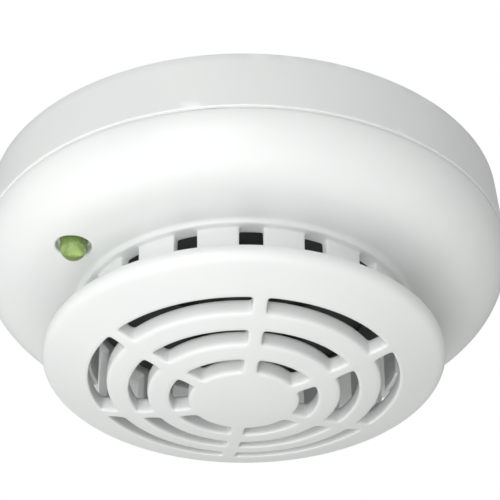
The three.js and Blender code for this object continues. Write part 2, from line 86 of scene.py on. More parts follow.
def linear(hex_colour: str) -> tuple[float, float, float, float]:
    """Turns an sRGB hex colour into linear RGBA.

    Args:
        hex_colour: Six hex digits, with or without a leading hash.

    Returns:
        The colour in linear light with alpha 1.
    """
    digits = hex_colour.lstrip("#")
    channels = []
    for start in (0, 2, 4):
        value = int(digits[start:start + 2], 16) / 255
        channels.append(value / 12.92 if value <= 0.04045 else ((value + 0.055) / 1.055) ** 2.4)
    return channels[0], channels[1], channels[2], 1.0


def add_node(
    tree: Tree,
    kind: str,
    settings: Optional[Mapping[str, object]] = None,
    inputs: Optional[Mapping[Union[str, int], object]] = None,
) -> Node:
    """Adds a node with its settings, values and links.

    Args:
        tree: Node tree that receives the node.
        kind: Blender's type name of the node.
        settings: Attributes to set on the node.
        inputs: Input name or index to a value, or to the output socket to link.

    Returns:
        The new node.
    """
    node = tree.nodes.new(kind)
    for name, value in (settings or {}).items():
        setattr(node, name, value)
    for key, value in (inputs or {}).items():
        if isinstance(value, Socket):
            tree.links.new(value, node.inputs[key])
        else:
            node.inputs[key].default_value = value
    return node


@dataclass(frozen=True)
class Finish:
    """A material: what it is made of and how its surface was made.

    Attributes:
        name: Name of the real material and process.
        colour: Main colour, sRGB hex.
        tone: Colour it drifts towards, sRGB hex.
        drift_mm: Size of the patches of colour drift.
        roughness: Mean roughness.
        roughness_spread: How far the roughness swings either way.
        grain_mm: Spacing of the surface grain.
        grain_height_mm: Height of the surface grain.
        metallic: Metallic value.
        ior: Index of refraction; metals keep the default.
    """

    name: str
    colour: str
    tone: str
    drift_mm: float
    roughness: float
    roughness_spread: float
    grain_mm: float
    grain_height_mm: float
    metallic: float = 0.0
    ior: float = 1.5

    def build(self) -> bpy.types.Material:
        """Makes the material, or returns the one already made.

        Returns:
            The material.
        """
        known = bpy.data.materials.get(self.name)
        if known:
            return known
        material = bpy.data.materials.new(self.name)
        material.use_nodes = True
        tree = material.node_tree
        tree.nodes.clear()
        coords = add_node(tree, "ShaderNodeTexCoord")
        shader = add_node(tree, "ShaderNodeBsdfPrincipled", inputs={
            "Metallic": self.metallic, "IOR": self.ior})
        self.paint(tree, shader, coords.outputs["Object"])
        add_node(tree, "ShaderNodeOutputMaterial", inputs={"Surface": shader.outputs["BSDF"]})
        return material

    def paint(self, tree: Tree, shader: Node, place: Socket) -> None:
        """Connects colour, roughness and bump.

        Args:
            tree: The material's node tree.
            shader: The Principled shader.
            place: Object coordinates.
        """
        self.colour_drift(tree, shader, place)
        self.roughness_drift(tree, shader, place)
        grain = add_node(tree, "ShaderNodeTexNoise", inputs={
            "Vector": place, "Scale": 1 / (self.grain_mm * MM), "Detail": 3.0, "Roughness": 0.55})
        self.bump(tree, shader, grain.outputs["Fac"])

    def colour_drift(self, tree: Tree, shader: Node, place: Socket) -> None:
        """Mixes the main colour and its tone by a soft noise.

        Args:
            tree: The material's node tree.
            shader: The Principled shader.
            place: Object coordinates.
        """
        patches = add_node(tree, "ShaderNodeTexNoise", inputs={
            "Vector": place, "Scale": 1 / (self.drift_mm * MM), "Detail": 4.0, "Roughness": 0.5})
        ramp = add_node(tree, "ShaderNodeValToRGB", inputs={"Fac": patches.outputs["Fac"]})
        ramp.color_ramp.elements[0].position = 0.35
        ramp.color_ramp.elements[0].color = linear(self.colour)
        ramp.color_ramp.elements[1].position = 0.75
        ramp.color_ramp.elements[1].color = linear(self.tone)
        tree.links.new(ramp.outputs["Color"], shader.inputs["Base Color"])

    def roughness_drift(self, tree: Tree, shader: Node, place: Socket) -> None:
        """Swings the roughness about its mean.

        Args:
            tree: The material's node tree.
            shader: The Principled shader.
            place: Object coordinates.
        """
        patches = add_node(tree, "ShaderNodeTexNoise", inputs={
            "Vector": place, "Scale": 1 / (self.drift_mm * 0.4 * MM), "Detail": 2.0})
        spread = add_node(tree, "ShaderNodeMapRange", inputs={
            "Value": patches.outputs["Fac"],
            "To Min": self.roughness - self.roughness_spread,
            "To Max": self.roughness + self.roughness_spread})
        tree.links.new(spread.outputs["Result"], shader.inputs["Roughness"])

    def bump(self, tree: Tree, shader: Node, height: Socket) -> None:
        """Raises the grain by its real height.

        Args:
            tree: The material's node tree.
            shader: The Principled shader.
            height: Height of the surface, 0 to 1.
        """
        bump = add_node(tree, "ShaderNodeBump", inputs={
            "Height": height, "Strength": 1.0, "Distance": self.grain_height_mm * MM})
        tree.links.new(bump.outputs["Normal"], shader.inputs["Normal"])


@dataclass(frozen=True)
class MouldedPlastic(Finish):
    """Injection-moulded plastic with a fine eroded texture and faint sink marks.

    Attributes:
        glow: Weight of the light that scatters under the surface.
        glow_mm: How far that light travels.
        sink_mm: Spacing of the faint sink marks.
        sink_height_mm: Depth of the sink marks.
    """

    glow: float = 0.0
    glow_mm: float = 1.0
    sink_mm: float = 14.0
    sink_height_mm: float = 0.02

    def paint(self, tree: Tree, shader: Node, place: Socket) -> None:
        """Adds the scattering and the two scales of relief.

        Args:
            tree: The material's node tree.
            shader: The Principled shader.
            place: Object coordinates.
        """
        self.colour_drift(tree, shader, place)
        self.roughness_drift(tree, shader, place)
        shader.inputs["Subsurface Weight"].default_value = self.glow
        shader.inputs["Subsurface Radius"].default_value = (1.0, 0.9, 0.8)
        shader.inputs["Subsurface Scale"].default_value = self.glow_mm * MM
        grain = add_node(tree, "ShaderNodeTexNoise", inputs={
            "Vector": place, "Scale": 1 / (self.grain_mm * MM), "Detail": 3.0, "Roughness": 0.6})
        sink = add_node(tree, "ShaderNodeTexNoise", inputs={
            "Vector": place, "Scale": 1 / (self.sink_mm * MM), "Detail": 1.0})
        deep = add_node(tree, "ShaderNodeMath", {"operation": "MULTIPLY"}, {
            0: sink.outputs["Fac"], 1: self.sink_height_mm / self.grain_height_mm})
        relief = add_node(tree, "ShaderNodeMath", {"operation": "ADD"}, {
            0: deep.outputs["Value"], 1: grain.outputs["Fac"]})
        self.bump(tree, shader, relief.outputs["Value"])


@dataclass(frozen=True)
class RolledMetal(Finish):
    """Sheet metal whose grain runs along one direction.

    Attributes:
        stretch: How much longer than wide the rolling marks are.
    """

    stretch: float = 14.0

    def paint(self, tree: Tree, shader: Node, place: Socket) -> None:
        """Draws the rolling marks as a stretched noise.

        Args:
            tree: The material's node tree.
            shader: The Principled shader.
            place: Object coordinates.
        """
        self.colour_drift(tree, shader, place)
        self.roughness_drift(tree, shader, place)
        mapping = add_node(tree, "ShaderNodeMapping", inputs={
            "Vector": place, "Scale": (1.0, 1 / self.stretch, 1.0)})
        marks = add_node(tree, "ShaderNodeTexNoise", inputs={
            "Vector": mapping.outputs["Vector"], "Scale": 1 / (self.grain_mm * MM), "Detail": 2.0})
        self.bump(tree, shader, marks.outputs["Fac"])


@dataclass(frozen=True)
class SolderMask(Finish):
    """Lacquered circuit board with copper tracks that show through the lacquer.

    Attributes:
        track: Colour of lacquer over copper, sRGB hex.
        pitch_mm: Spacing of the tracks.
    """

    track: str = "#2F7A4C"
    pitch_mm: float = 2.54

    def colour_drift(self, tree: Tree, shader: Node, place: Socket) -> None:
        """Lays brick-shaped tracks over the lacquer colour.

        Args:
            tree: The material's node tree.
            shader: The Principled shader.
            place: Object coordinates.
        """
        tracks = add_node(tree, "ShaderNodeTexBrick", {"offset": 0.37, "squash": 0.6}, {
            "Vector": place, "Color1": linear(self.colour), "Color2": linear(self.tone),
            "Mortar": linear(self.track), "Scale": 1 / (self.pitch_mm * 2 * MM),
            "Mortar Size": 0.06, "Brick Width": 1.6, "Row Height": 0.5})
        tree.links.new(tracks.outputs["Color"], shader.inputs["Base Color"])


@dataclass(frozen=True)
class LensResin(Finish):
    """Tinted casting resin that light passes through.

    Attributes:
        transmission: Share of light that passes.
    """

    transmission: float = 0.72

    def paint(self, tree: Tree, shader: Node, place: Socket) -> None:
        """Lets light through the tint."""
        super().paint(tree, shader, place)
        shader.inputs["Transmission Weight"].default_value = self.transmission


@dataclass(frozen=True)
class PaleGround(Finish):
    """Pale floor that shows lighter than it lights.

    Attributes:
        lift: Light added where the floor is seen directly.
    """

    lift: float = 0.36

    def paint(self, tree: Tree, shader: Node, place: Socket) -> None:
        """Adds the lift to the plaster.

        Args:
            tree: The material's node tree.
            shader: The Principled shader.
            place: Object coordinates.
        """
        super().paint(tree, shader, place)
        path = add_node(tree, "ShaderNodeLightPath")
        seen = add_node(tree, "ShaderNodeMath", {"operation": "MULTIPLY"}, {
            0: path.outputs["Is Camera Ray"], 1: self.lift})
        shader.inputs["Emission Color"].default_value = (1.0, 1.0, 1.0, 1.0)
        tree.links.new(seen.outputs["Value"], shader.inputs["Emission Strength"])


# ABS, injection moulded in an eroded tool: clean neutral white with a soft satin sheen. The
# texture of the tool is near 0.1 mm and is drawn at 0.35 mm, so that it shows at all.
WHITE_ABS = MouldedPlastic("ABS, moulded white", "#F1F3F2", "#ECEFEE", 22.0, 0.36, 0.05, 0.35, 0.004,
                           ior=1.53, glow=0.08, glow_mm=0.8)
# Glass-filled nylon, moulded black: dull, slightly speckled.
BLACK_NYLON = MouldedPlastic("Nylon, moulded black", "#2C302F", "#373C3B", 5.0, 0.34, 0.06, 0.3, 0.01,
                             ior=1.53)
# Nickel-plated phosphor bronze: bright, warm grey, with fine rolling marks.
NICKEL_BRONZE = RolledMetal("Phosphor bronze, nickel plated", "#C3C1B8", "#B3AFA2", 6.0, 0.24, 0.06, 0.25,
                            0.003,
                            metallic=1.0)
# Zinc-plated steel, cold headed: cooler and duller than the contacts.
ZINC_STEEL = RolledMetal("Steel, zinc plated", "#B4B7BA", "#9DA1A6", 3.0, 0.32, 0.08, 0.3, 0.004,
                         metallic=1.0,
                         stretch=3.0)
GREEN_BOARD = SolderMask("Glass epoxy board, green lacquer", "#1C5A38", "#1A5134", 5.0, 0.3, 0.05, 0.4, 0.006,
                         ior=1.52)
# Clear epoxy with a green tint, cast: glossy, the cup inside shows through.
GREEN_LENS = LensResin("Epoxy, cast and tinted green", "#D6F796", "#C8EE88", 2.5, 0.03, 0.01, 0.4, 0.001,
                       ior=1.55)
# Dipped epoxy bead: black-brown and glossy.
BEAD_EPOXY = Finish("Epoxy, dipped dark", "#241F1C", "#2F2823", 1.5, 0.2, 0.06, 0.6, 0.01, ior=1.55)
TINNED_WIRE = RolledMetal("Copper wire, tinned", "#C9C8C3", "#B8B6AF", 2.0, 0.28, 0.06, 0.2, 0.002,
                          metallic=1.0)
CHIP_EPOXY = Finish("Epoxy, transfer moulded black", "#232527", "#2B2D2F", 1.2, 0.55, 0.07, 0.12, 0.006,
                    ior=1.55)
BLUE_SLEEVE = Finish("PVC, shrunk blue sleeve", "#23314A", "#1D2A40", 3.0, 0.3, 0.05, 0.5, 0.004, ior=1.53)
PALE_FLOOR = PaleGround("Lime plaster, trowelled pale", "#E9E9E7", "#E2E2DF", 180.0, 0.75, 0.05, 3.0, 0.08)


# ---- mesh helpers ----------------------------------------------------------------------------


def polar(radius: float, degrees: float, depth: float) -> Vector:
    """Point in metres at a radius, an angle and a depth below the ceiling, in mm and degrees."""
    a = math.radians(degrees)
    return Vector((radius * math.cos(a), radius * math.sin(a), -depth)) * MM


def to_object(name: str, bm: Build, sharp_degrees: float = 35.0) -> Item:
    """Turns a bmesh into a smooth-shaded object at the origin.

    Args:
        name: Name of the object and its mesh.
        bm: The finished mesh; it is freed.
        sharp_degrees: Edges that turn more than this stay sharp.

    Returns:
        The object, linked to the scene.
    """
    bmesh.ops.recalc_face_normals(bm, faces=bm.faces)
    mesh = bpy.data.meshes.new(name)
    bm.to_mesh(mesh)
    bm.free()
    mesh.shade_smooth()
    mesh.set_sharp_from_angle(angle=math.radians(sharp_degrees))
    made = bpy.data.objects.new(name, mesh)
    bpy.context.scene.collection.objects.link(made)
    return made


def revolve(name: str, profile: Sequence[Pair], segments: int = 96) -> Item:
    """Body of revolution about Z.

    Args:
        name: Object name.
        profile: (radius, depth) pairs in mm; it closes on itself unless it ends on the axis.
        segments: Facets round the axis.

    Returns:
        The new object.
    """
    bm = bmesh.new()
    rings: list[Ring] = []
    for radius, depth in profile:
        if radius < 1e-6:
            rings.append([bm.verts.new(polar(0, 0, depth))] * segments)
        else:
            rings.append([bm.verts.new(polar(radius, 360 * j / segments, depth)) for j in range(segments)])
    count = len(rings)
    on_axis = profile[0][0] < 1e-6 and profile[-1][0] < 1e-6
    for i in range(count - 1 if on_axis else count):
        bridge(bm, rings[i], rings[(i + 1) % count], range(segments))
    return to_object(name, bm)


def rod(name: str, radius: float, top: float, bottom: float, segments: int = 32) -> Item:
    """Plain cylinder on the axis between two depths."""
    return revolve(name, [(0, top), (radius, top), (radius, bottom), (0, bottom)], segments)


def depths(node: str) -> Pair:
    """Depths in mm of the upper and lower ends of a CAD node."""
    low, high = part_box(node)
    return -high.z / MM, -low.z / MM


def numbered(stem: str, count: int) -> list[str]:
    """Names of CAD nodes that are numbered from one."""
    return [f"{stem}_{i + 1}" for i in range(count)]


def field_angles(count: int, phase: float, half: float, narrow: int, wide: int) -> list[float]:
    """Angles of mesh columns in narrow fields with wide ones between them.

    Args:
        count: Number of narrow fields round the axis.
        phase: Angle of the middle of the first one.
        half: Half the angle of a narrow field.
        narrow: Columns in a narrow field.
        wide: Columns in a wide field.

    Returns:
        The angles in degrees, once round.
    """
    pitch = 360 / count
    gap = pitch - 2 * half
    angles: list[float] = []
    for i in range(count):
        centre = phase + pitch * i
        angles += [centre - half + 2 * half * j / narrow for j in range(narrow)]
        angles += [centre + half + gap * j / wide for j in range(wide)]
    return angles


def bridge(bm: Build, one: Ring, two: Ring, columns: Sequence[int]) -> None:
    """Joins two rings of equal length with faces, closing to triangles at a pole.

    Args:
        bm: Mesh under construction.
        one: First ring of vertices.
        two: Second ring, of the same length.
        columns: Columns to close, each by its first vertex.
    """
    total = len(one)
    for j in columns:
        k = (j + 1) % total
        corners = []
        for v in (one[j], one[k], two[k], two[j]):
            if v not in corners:
                corners.append(v)
        if len(corners) > 2 and not bm.faces.get(corners):
            bm.faces.new(corners)


def extrude_outline(name: str, outline: Sequence[Pair], low: float, high: float) -> Item:
    """Prism from an outline in X and Y, in mm, between two depths.

    Args:
        name: Name of the object.
        outline: Corners in X and Y, in mm.
        low: Depth of the upper end, in mm.
        high: Depth of the lower end, in mm.

    Returns:
        The object.
    """
    bm = bmesh.new()
    top = [bm.verts.new(Vector((x, y, -low)) * MM) for x, y in outline]
    bottom = [bm.verts.new(Vector((x, y, -high)) * MM) for x, y in outline]
    bm.faces.new(top)
    bm.faces.new(list(reversed(bottom)))
    bridge(bm, top, bottom, range(len(outline)))
    return to_object(name, bm)


def block(name: str, size: tuple[float, float], low: float, high: float, at: float = 0.0,
          angle: float = 0.0) -> Item:
    """Box with its radial and tangential size, two depths, a distance from the axis and an angle.

    Args:
        name: Name of the object.
        size: Radial and tangential size, in mm.
        low: Depth of the upper end, in mm.
        high: Depth of the lower end, in mm.
        at: Distance from the axis, in mm.
        angle: Angle about the axis, in degrees.

    Returns:
        The object.
    """
    x, y = size[0] / 2, size[1] / 2
    made = extrude_outline(name, [(at - x, -y), (at + x, -y), (at + x, y), (at - x, y)], low, high)
    made.data.transform(Matrix.Rotation(math.radians(angle), 4, "Z"))
    return made


def moved(item: Item, radius: float, degrees: float) -> Item:
    """Moves a mesh built on the axis out to a radius and turns it to an angle.

    Args:
        item: Object whose mesh is changed.
        radius: Distance from the axis, in mm.
        degrees: Angle about the axis, in degrees.

    Returns:
        The same object.
    """
    turn = Matrix.Rotation(math.radians(degrees), 4, "Z")
    item.data.transform(turn @ Matrix.Translation((radius * MM, 0, 0)))
    return item


def combine(target: Item, others: Sequence[Item], operation: str) -> Item:
    """Applies exact booleans to a mesh and removes the other solids.

    Args:
        target: Solid that is changed.
        others: Solids to add or take away.
        operation: UNION or DIFFERENCE.

    Returns:
        The target.
    """
    for other in others:
        modifier = target.modifiers.new("solid", "BOOLEAN")
        modifier.operation = operation
        modifier.solver = "EXACT"
        modifier.object = other
    bake(target)
    for other in others:
        bpy.data.objects.remove(other)
    return target


def bake(item: Item) -> Item:
    """Replaces an object's mesh with its evaluated one and removes the modifiers.

    Args:
        item: Object whose modifiers are applied.

    Returns:
        The same object, with its new mesh.
    """
    graph = bpy.context.evaluated_depsgraph_get()
    graph.update()
    mesh = bpy.data.meshes.new_from_object(item.evaluated_get(graph))
    item.modifiers.clear()
    item.data = mesh
    return item


def clean(item: Item, reach_mm: float = 0.004) -> None:
    """Merges vertices that fall together, drops faces without area and closes the slits that leaves.

    Args:
        item: Object whose mesh is changed.
        reach_mm: Distance below which vertices are merged.
    """
    bm = bmesh.new()
    bm.from_mesh(item.data)
    bmesh.ops.remove_doubles(bm, verts=bm.verts, dist=reach_mm * MM)
    bmesh.ops.dissolve_degenerate(bm, edges=bm.edges, dist=reach_mm * MM)
    bmesh.ops.holes_fill(bm, edges=[edge for edge in bm.edges if edge.is_boundary], sides=4)
    bm.to_mesh(item.data)
    bm.free()


def soften(item: Item, width_mm: float, segments: int = 2, angle: float = 32.0,
           subdivide: bool = False) -> Item:
    """Rounds the sharp edges, and smooths the whole skin if asked.

    Args:
        item: Object to finish.
        width_mm: Width of the rounding.
        segments: Steps across the rounding.
        angle: Edges that turn more than this are rounded.
        subdivide: Adds one level of subdivision.

    Returns:
        The same object.
    """
    if not subdivide:
        clean(item)
    bevel = item.modifiers.new("edges", "BEVEL")
    bevel.width = width_mm * MM
    bevel.segments = segments
    bevel.limit_method = "ANGLE"
    bevel.angle_limit = math.radians(angle)
    bevel.use_clamp_overlap = True
    bevel.harden_normals = not subdivide
    bevel.miter_outer = "MITER_ARC"
    if subdivide:
        smooth = item.modifiers.new("skin", "SUBSURF")
        smooth.levels = 1
        smooth.render_levels = 1
    bake(item)
    if not subdivide:
        clean(item)
    item.data.shade_smooth()
    return item


def dress(item: Item, finish: Finish, body: Body, nodes: Sequence[str]) -> Item:
    """Gives a finished piece its material, its body and the CAD nodes that it stands for.

    Args:
        item: The finished piece.
        finish: Finish of the whole piece.
        body: Rigid body that carries it.
        nodes: CAD nodes that it replaces.

    Returns:
        The piece.
    """
    if not item.data.materials:
        item.data.materials.append(finish.build())
    item.name = item.name.replace(" ", "_")
    item.data.name = item.name
    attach(item, body.value)
    if nodes:
        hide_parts(*nodes)
    LOG.info("%s: %d faces, stands for %s", item.name, len(item.data.polygons), ", ".join(nodes) or "nothing")
    return item


@dataclass(frozen=True)
class Layout:
    """Places spread evenly round the axis.

    Attributes:
        count: Number of places.
        radius: Distance from the axis, mm.
        phase: Angle of the first place, degrees.
    """

    count: int
    radius: float
    phase: float


@dataclass
class RingOfPieces:
    """Geometry Nodes tree that sets copies of a piece round the axis.

    Attributes:
        tree: The shared node group, made on first use.
    """

    tree: Optional[Tree] = field(default=None)

    def build_tree(self) -> Tree:
        """Makes the node group: a circle of points, one copy on each, realised and dressed.

        Returns:
            The node group.
        """
        tree = bpy.data.node_groups.new("Copies round the axis", "GeometryNodeTree")
        tree.interface.new_socket("Geometry", in_out="OUTPUT", socket_type="NodeSocketGeometry")
        for label, kind in (("Piece", "NodeSocketObject"), ("Count", "NodeSocketInt"),
                            ("Radius", "NodeSocketFloat"), ("Phase", "NodeSocketFloat"),
                            ("Finish", "NodeSocketMaterial")):
            tree.interface.new_socket(label, in_out="INPUT", socket_type=kind)
        entry = add_node(tree, "NodeGroupInput")
        index = add_node(tree, "GeometryNodeInputIndex")
        share = add_node(tree, "ShaderNodeMath", {"operation": "DIVIDE"}, {
            0: index.outputs["Index"], 1: entry.outputs["Count"]})
        turn = add_node(tree, "ShaderNodeMath", {"operation": "MULTIPLY"},
                        {0: share.outputs["Value"], 1: math.tau})
        facing = add_node(tree, "ShaderNodeCombineXYZ", inputs={"Z": turn.outputs["Value"]})
        reach = add_node(tree, "ShaderNodeCombineXYZ", inputs={"X": entry.outputs["Radius"]})
        spot = add_node(tree, "ShaderNodeVectorRotate", {"rotation_type": "Z_AXIS"}, {
            "Vector": reach.outputs["Vector"], "Angle": turn.outputs["Value"]})
        points = add_node(tree, "GeometryNodePoints", inputs={
            "Count": entry.outputs["Count"], "Position": spot.outputs["Vector"]})
        piece = add_node(tree, "GeometryNodeObjectInfo", inputs={"Object": entry.outputs["Piece"]})
        copies = add_node(tree, "GeometryNodeInstanceOnPoints", inputs={
            "Points": points.outputs["Points"], "Instance": piece.outputs["Geometry"],
            "Rotation": facing.outputs["Vector"]})
        phase = add_node(tree, "ShaderNodeCombineXYZ", inputs={"Z": entry.outputs["Phase"]})
        whole = add_node(tree, "GeometryNodeTransform", inputs={
            "Geometry": copies.outputs["Instances"], "Rotation": phase.outputs["Vector"]})
        real = add_node(tree, "GeometryNodeRealizeInstances", inputs={"Geometry": whole.outputs["Geometry"]})
        dressed = add_node(tree, "GeometryNodeSetMaterial", inputs={
            "Geometry": real.outputs["Geometry"], "Material": entry.outputs["Finish"]})
        add_node(tree, "NodeGroupOutput", inputs={"Geometry": dressed.outputs["Geometry"]})
        return tree

    def place(self, name: str, piece: Item, layout: Layout, finish: Finish) -> Item:
        """Sets copies of a piece round the axis and returns them as one plain mesh.

        Args:
            name: Name of the result.
            piece: Piece built on the axis; it is removed afterwards.
            layout: Where the copies go.
            finish: Finish of all copies.

        Returns:
            An object at the origin with the copies as its mesh.
        """
        if self.tree is None:
            self.tree = self.build_tree()
        host = bpy.data.objects.new(name, bpy.data.meshes.new(name))
        bpy.context.scene.collection.objects.link(host)
        modifier = host.modifiers.new("copies", "NODES")
        modifier.node_group = self.tree
        values = {"Piece": piece, "Count": layout.count, "Radius": layout.radius * MM,
                  "Phase": math.radians(layout.phase), "Finish": finish.build()}
        for socket in self.tree.interface.items_tree:
            if socket.in_out == "INPUT":
                modifier[socket.identifier] = values[socket.name]
        bake(host)
        bpy.data.objects.remove(piece)
        return host


RINGS = RingOfPieces()
TERMINALS = Layout(4, 31.0, 45.0)
BLADES = Layout(4, 31.0, 61.0)
COVER_SCREWS = Layout(3, 39.0, 30.0)
BOARD_POSTS = Layout(2, 20.0, 0.0)
LUGS = Layout(3, 0.0, 90.0)


# ---- fasteners -------------------------------------------------------------------------------


@dataclass
class PanScrew:
    """Pan-head machine screw with a cross recess and a threaded shank.

    Attributes:
        shank_r: Radius over the thread, mm.
        head_r: Radius of the head, mm.
        head_height: Height of the head, mm.
        pitch: Thread pitch, mm.
        recess: Width of the arms of the recess, mm.
    """

    shank_r: float = 1.5
    head_r: float = 3.0
    head_height: float = 1.9
    pitch: float = 0.7
    recess: float = 0.8

    def build(self, name: str, seat: float, tip: float) -> Item:
        """Builds the screw on the axis, head beyond the seat, away from the tip.

        Args:
            name: Object name.
            seat: Depth of the underside of the head.
            tip: Depth of the end of the shank.

        Returns:
            The screw.
        """
        way = 1.0 if tip < seat else -1.0
        length = abs(seat - tip)
        profile: list[Pair] = [(0.0, length), (self.shank_r * 0.6, length)]
        turns = int((length - 0.6) / self.pitch)
        for i in range(turns, 0, -1):
            level = i * self.pitch
            profile += [(self.shank_r - 0.28, level + self.pitch * 0.3), (self.shank_r, level)]
        profile += [(self.shank_r - 0.28, 0.25), (self.shank_r - 0.28, 0.0), (self.head_r - 0.12, 0.0),
                    (self.head_r, -0.12), (self.head_r, -self.head_height * 0.45)]
        crown = self.head_height
        for i in range(1, 6):
            a = math.radians(18 * i)
            profile.append((self.head_r - 0.9 * (1 - math.cos(a)) if i < 5 else self.head_r - 1.0,
                            -crown * 0.45 - crown * 0.5 * math.sin(a)))
        profile.append((0.0, -crown))
        screw = revolve(name, [(r, seat - way * d) for r, d in profile], 40)
        arms = []
        for turn in (0, 90):
            low, high = sorted((seat + way * (crown - 1.0), seat + way * (crown + 1.0)))
            arms.append(block("arm", (self.recess, 2 * self.head_r - 2.4), low, high, angle=turn))
        combine(screw, arms, "DIFFERENCE")
        return soften(screw, 0.08, 1, 50)


def set_screws(name: str, node: str, layout: Layout, body: Body, head_down: bool) -> None:
    """Sets pan-head screws round the axis, in the place of the CAD ones.

    Args:
        name: Name of the visible piece.
        node: CAD nodes' name without its number.
        layout: Where the screws go.
        body: Rigid body that carries them.
        head_down: The heads are at the lower end.
    """
    top, bottom = depths(f"{node}_1")
    height = PanScrew.head_height
    seat, tip = (bottom - height, top) if head_down else (top + height, bottom)
    screws = RINGS.place(name, PanScrew().build("screw", seat, tip), layout, ZINC_STEEL)
    dress(screws, ZINC_STEEL, body, numbered(node, layout.count))


# ---- base ------------------------------------------------------------------------------------


@dataclass
class MountingBase:
    """White base that is screwed to the ceiling, with its terminals.

    Sizes are in mm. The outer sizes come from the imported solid.
    """

    rim_r: float = 50.0
    wall: float = 2.2
    inner_r: float = 48.0
    floor_top: float = 3.0
    floor_low: float = 5.0
    wire_r: float = 12.0
    hub_wall: float = 2.0
    rib_count: int = 8
    rib_width: float = 1.6
    rib_phase: float = 22.5
    slot_reach: float = 30.0
    slot_length: float = 14.0
    slot_width: float = 4.5
    lug_arc: float = 20.0
    lug_inner: float = 45.1
    lug_depth: float = 9.5
    lug_thick: float = 1.5
    terminal_width: float = 8.0
    terminal_length: float = 9.0
    metal: float = 0.8
    edge: float = 0.35
    seam_edge: float = 0.15
    lip_set_back: float = 0.35
    lip: float = 0.22

    def build(self) -> None:
        """Builds the moulding, the terminal plates and their screws."""
        self.moulding()
        self.terminals()

    def moulding(self) -> Item:
        """Collar and floor with ribs, bosses, pads, lugs and slots.

        Returns:
            The object.
        """
        low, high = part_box("base_plate")
        seam_r = high.x / MM
        depth = -low.z / MM
        e = self.edge
        outer = [(self.rim_r - e, 0.0), (self.rim_r + 0.03, e)]
        steps = 6
        outer += [(self.rim_r + (seam_r - self.rim_r) * i / steps, depth * i / steps)
                  for i in range(1, steps)]
        outer += [(seam_r, depth - self.seam_edge), (seam_r - self.seam_edge, depth)]
        body = revolve("Mounting base", [
            *outer,
            (seam_r - self.lip_set_back, depth), (seam_r - self.lip_set_back, depth + self.lip),
            (self.inner_r + 1.0, depth + self.lip), (self.inner_r + 1.0, depth),
            (self.inner_r + 0.3, depth), (self.inner_r, depth - 0.3),
            (self.inner_r, self.floor_low + 0.8), (self.inner_r - 0.8, self.floor_low),
            (self.wire_r + 0.4, self.floor_low), (self.wire_r, self.floor_low - 0.4),
            (self.wire_r, 0.3), (self.wire_r + 0.3, 0.0), (self.wire_r + self.hub_wall - 0.3, 0.0),
            (self.wire_r + self.hub_wall, 0.3), (self.wire_r + self.hub_wall, self.floor_top - 0.5),
            (self.wire_r + self.hub_wall + 0.5, self.floor_top),
            (self.rim_r - self.wall - 0.5, self.floor_top), (self.rim_r - self.wall, self.floor_top - 0.5),
            (self.rim_r - self.wall, 0.3), (self.rim_r - self.wall + 0.3, 0.0),
        ], 192)
        inner = self.wire_r + self.hub_wall / 2
        span = self.rim_r - self.wall / 2 - inner
        rib = block("rib", (span, self.rib_width), 0.4, self.floor_top + 0.5, inner + span / 2)
        ribs = RINGS.place("ribs", rib, Layout(self.rib_count, 0.0, self.rib_phase), WHITE_ABS)
        pad = block("pad", (self.terminal_width + 2, self.terminal_length + 2), self.floor_top + 0.5,
                    self.floor_low + 0.8)
        pads = RINGS.place("pads", pad, TERMINALS, WHITE_ABS)
        boss = revolve("boss", [(0, 0.4), (3.3, 0.4), (3.6, 0.7), (3.7, 3.5), (0, 3.5)], 40)
        bosses = RINGS.place("bosses", boss, TERMINALS, WHITE_ABS)
        lugs = RINGS.place("lugs", self.lug(), LUGS, WHITE_ABS)
        combine(body, [ribs, pads, bosses, lugs], "UNION")
        cuts = [self.screw_slot(0), self.screw_slot(180)]
        hole = rod("hole", SCREW_HOLE_R, 1.4, 7)
        cuts.append(RINGS.place("holes", hole, TERMINALS, WHITE_ABS))
        combine(body, cuts, "DIFFERENCE")
        body.data.materials.clear()
        soften(body, 0.18, 2, 40)
        return dress(body, WHITE_ABS, Body.BASE, ["base_plate"])

    def lug(self) -> Item:
        """Bayonet lug with its end stop, centred on +X.

        Returns:
            The object.
        """
        half = self.lug_arc / 2
        low = self.lug_depth + self.lug_thick
        plate = self.arc(self.lug_inner, self.inner_r + 1, -half, half, self.lug_depth, low, 10)
        stop = self.arc(self.lug_inner, self.inner_r + 1, half - 1, half + 1, self.lug_depth - 2, low, 2)
        return combine(plate, [stop], "UNION")

    @staticmethod
    def arc(r0: float, r1: float, start: float, end: float, low: float, high: float, steps: int) -> Item:
        """Piece of a ring between two radii, two angles and two depths.

        Args:
            r0: Inner radius, in mm.
            r1: Outer radius, in mm.
            start: First angle, in degrees.
            end: Last angle, in degrees.
            low: Depth of the upper end, in mm.
            high: Depth of the lower end, in mm.
            steps: Segments along each arc.

        Returns:
            The object.
        """
        outline = []
        for radius, first, last in ((r1, start, end), (r0, end, start)):
            for i in range(steps + 1):
                a = math.radians(first + (last - first) * i / steps)
                outline.append((radius * math.cos(a), radius * math.sin(a)))
        return extrude_outline("arc", outline, low, high)

    def screw_slot(self, angle: float) -> Item:
        """Slot-shaped cutter for a fixing screw.

        Args:
            angle: Angle about the axis, in degrees.

        Returns:
            The object.
        """
        half = (self.slot_length - self.slot_width) / 2
        radius = self.slot_width / 2
        outline = []
        for centre, first in ((half, -90), (-half, 90)):
            for i in range(13):
                a = math.radians(first + 15 * i)
                outline.append((centre + radius * math.cos(a), radius * math.sin(a)))
        return moved(extrude_outline("slot", outline, self.floor_top - 1, self.floor_low + 1),
                     self.slot_reach, angle)

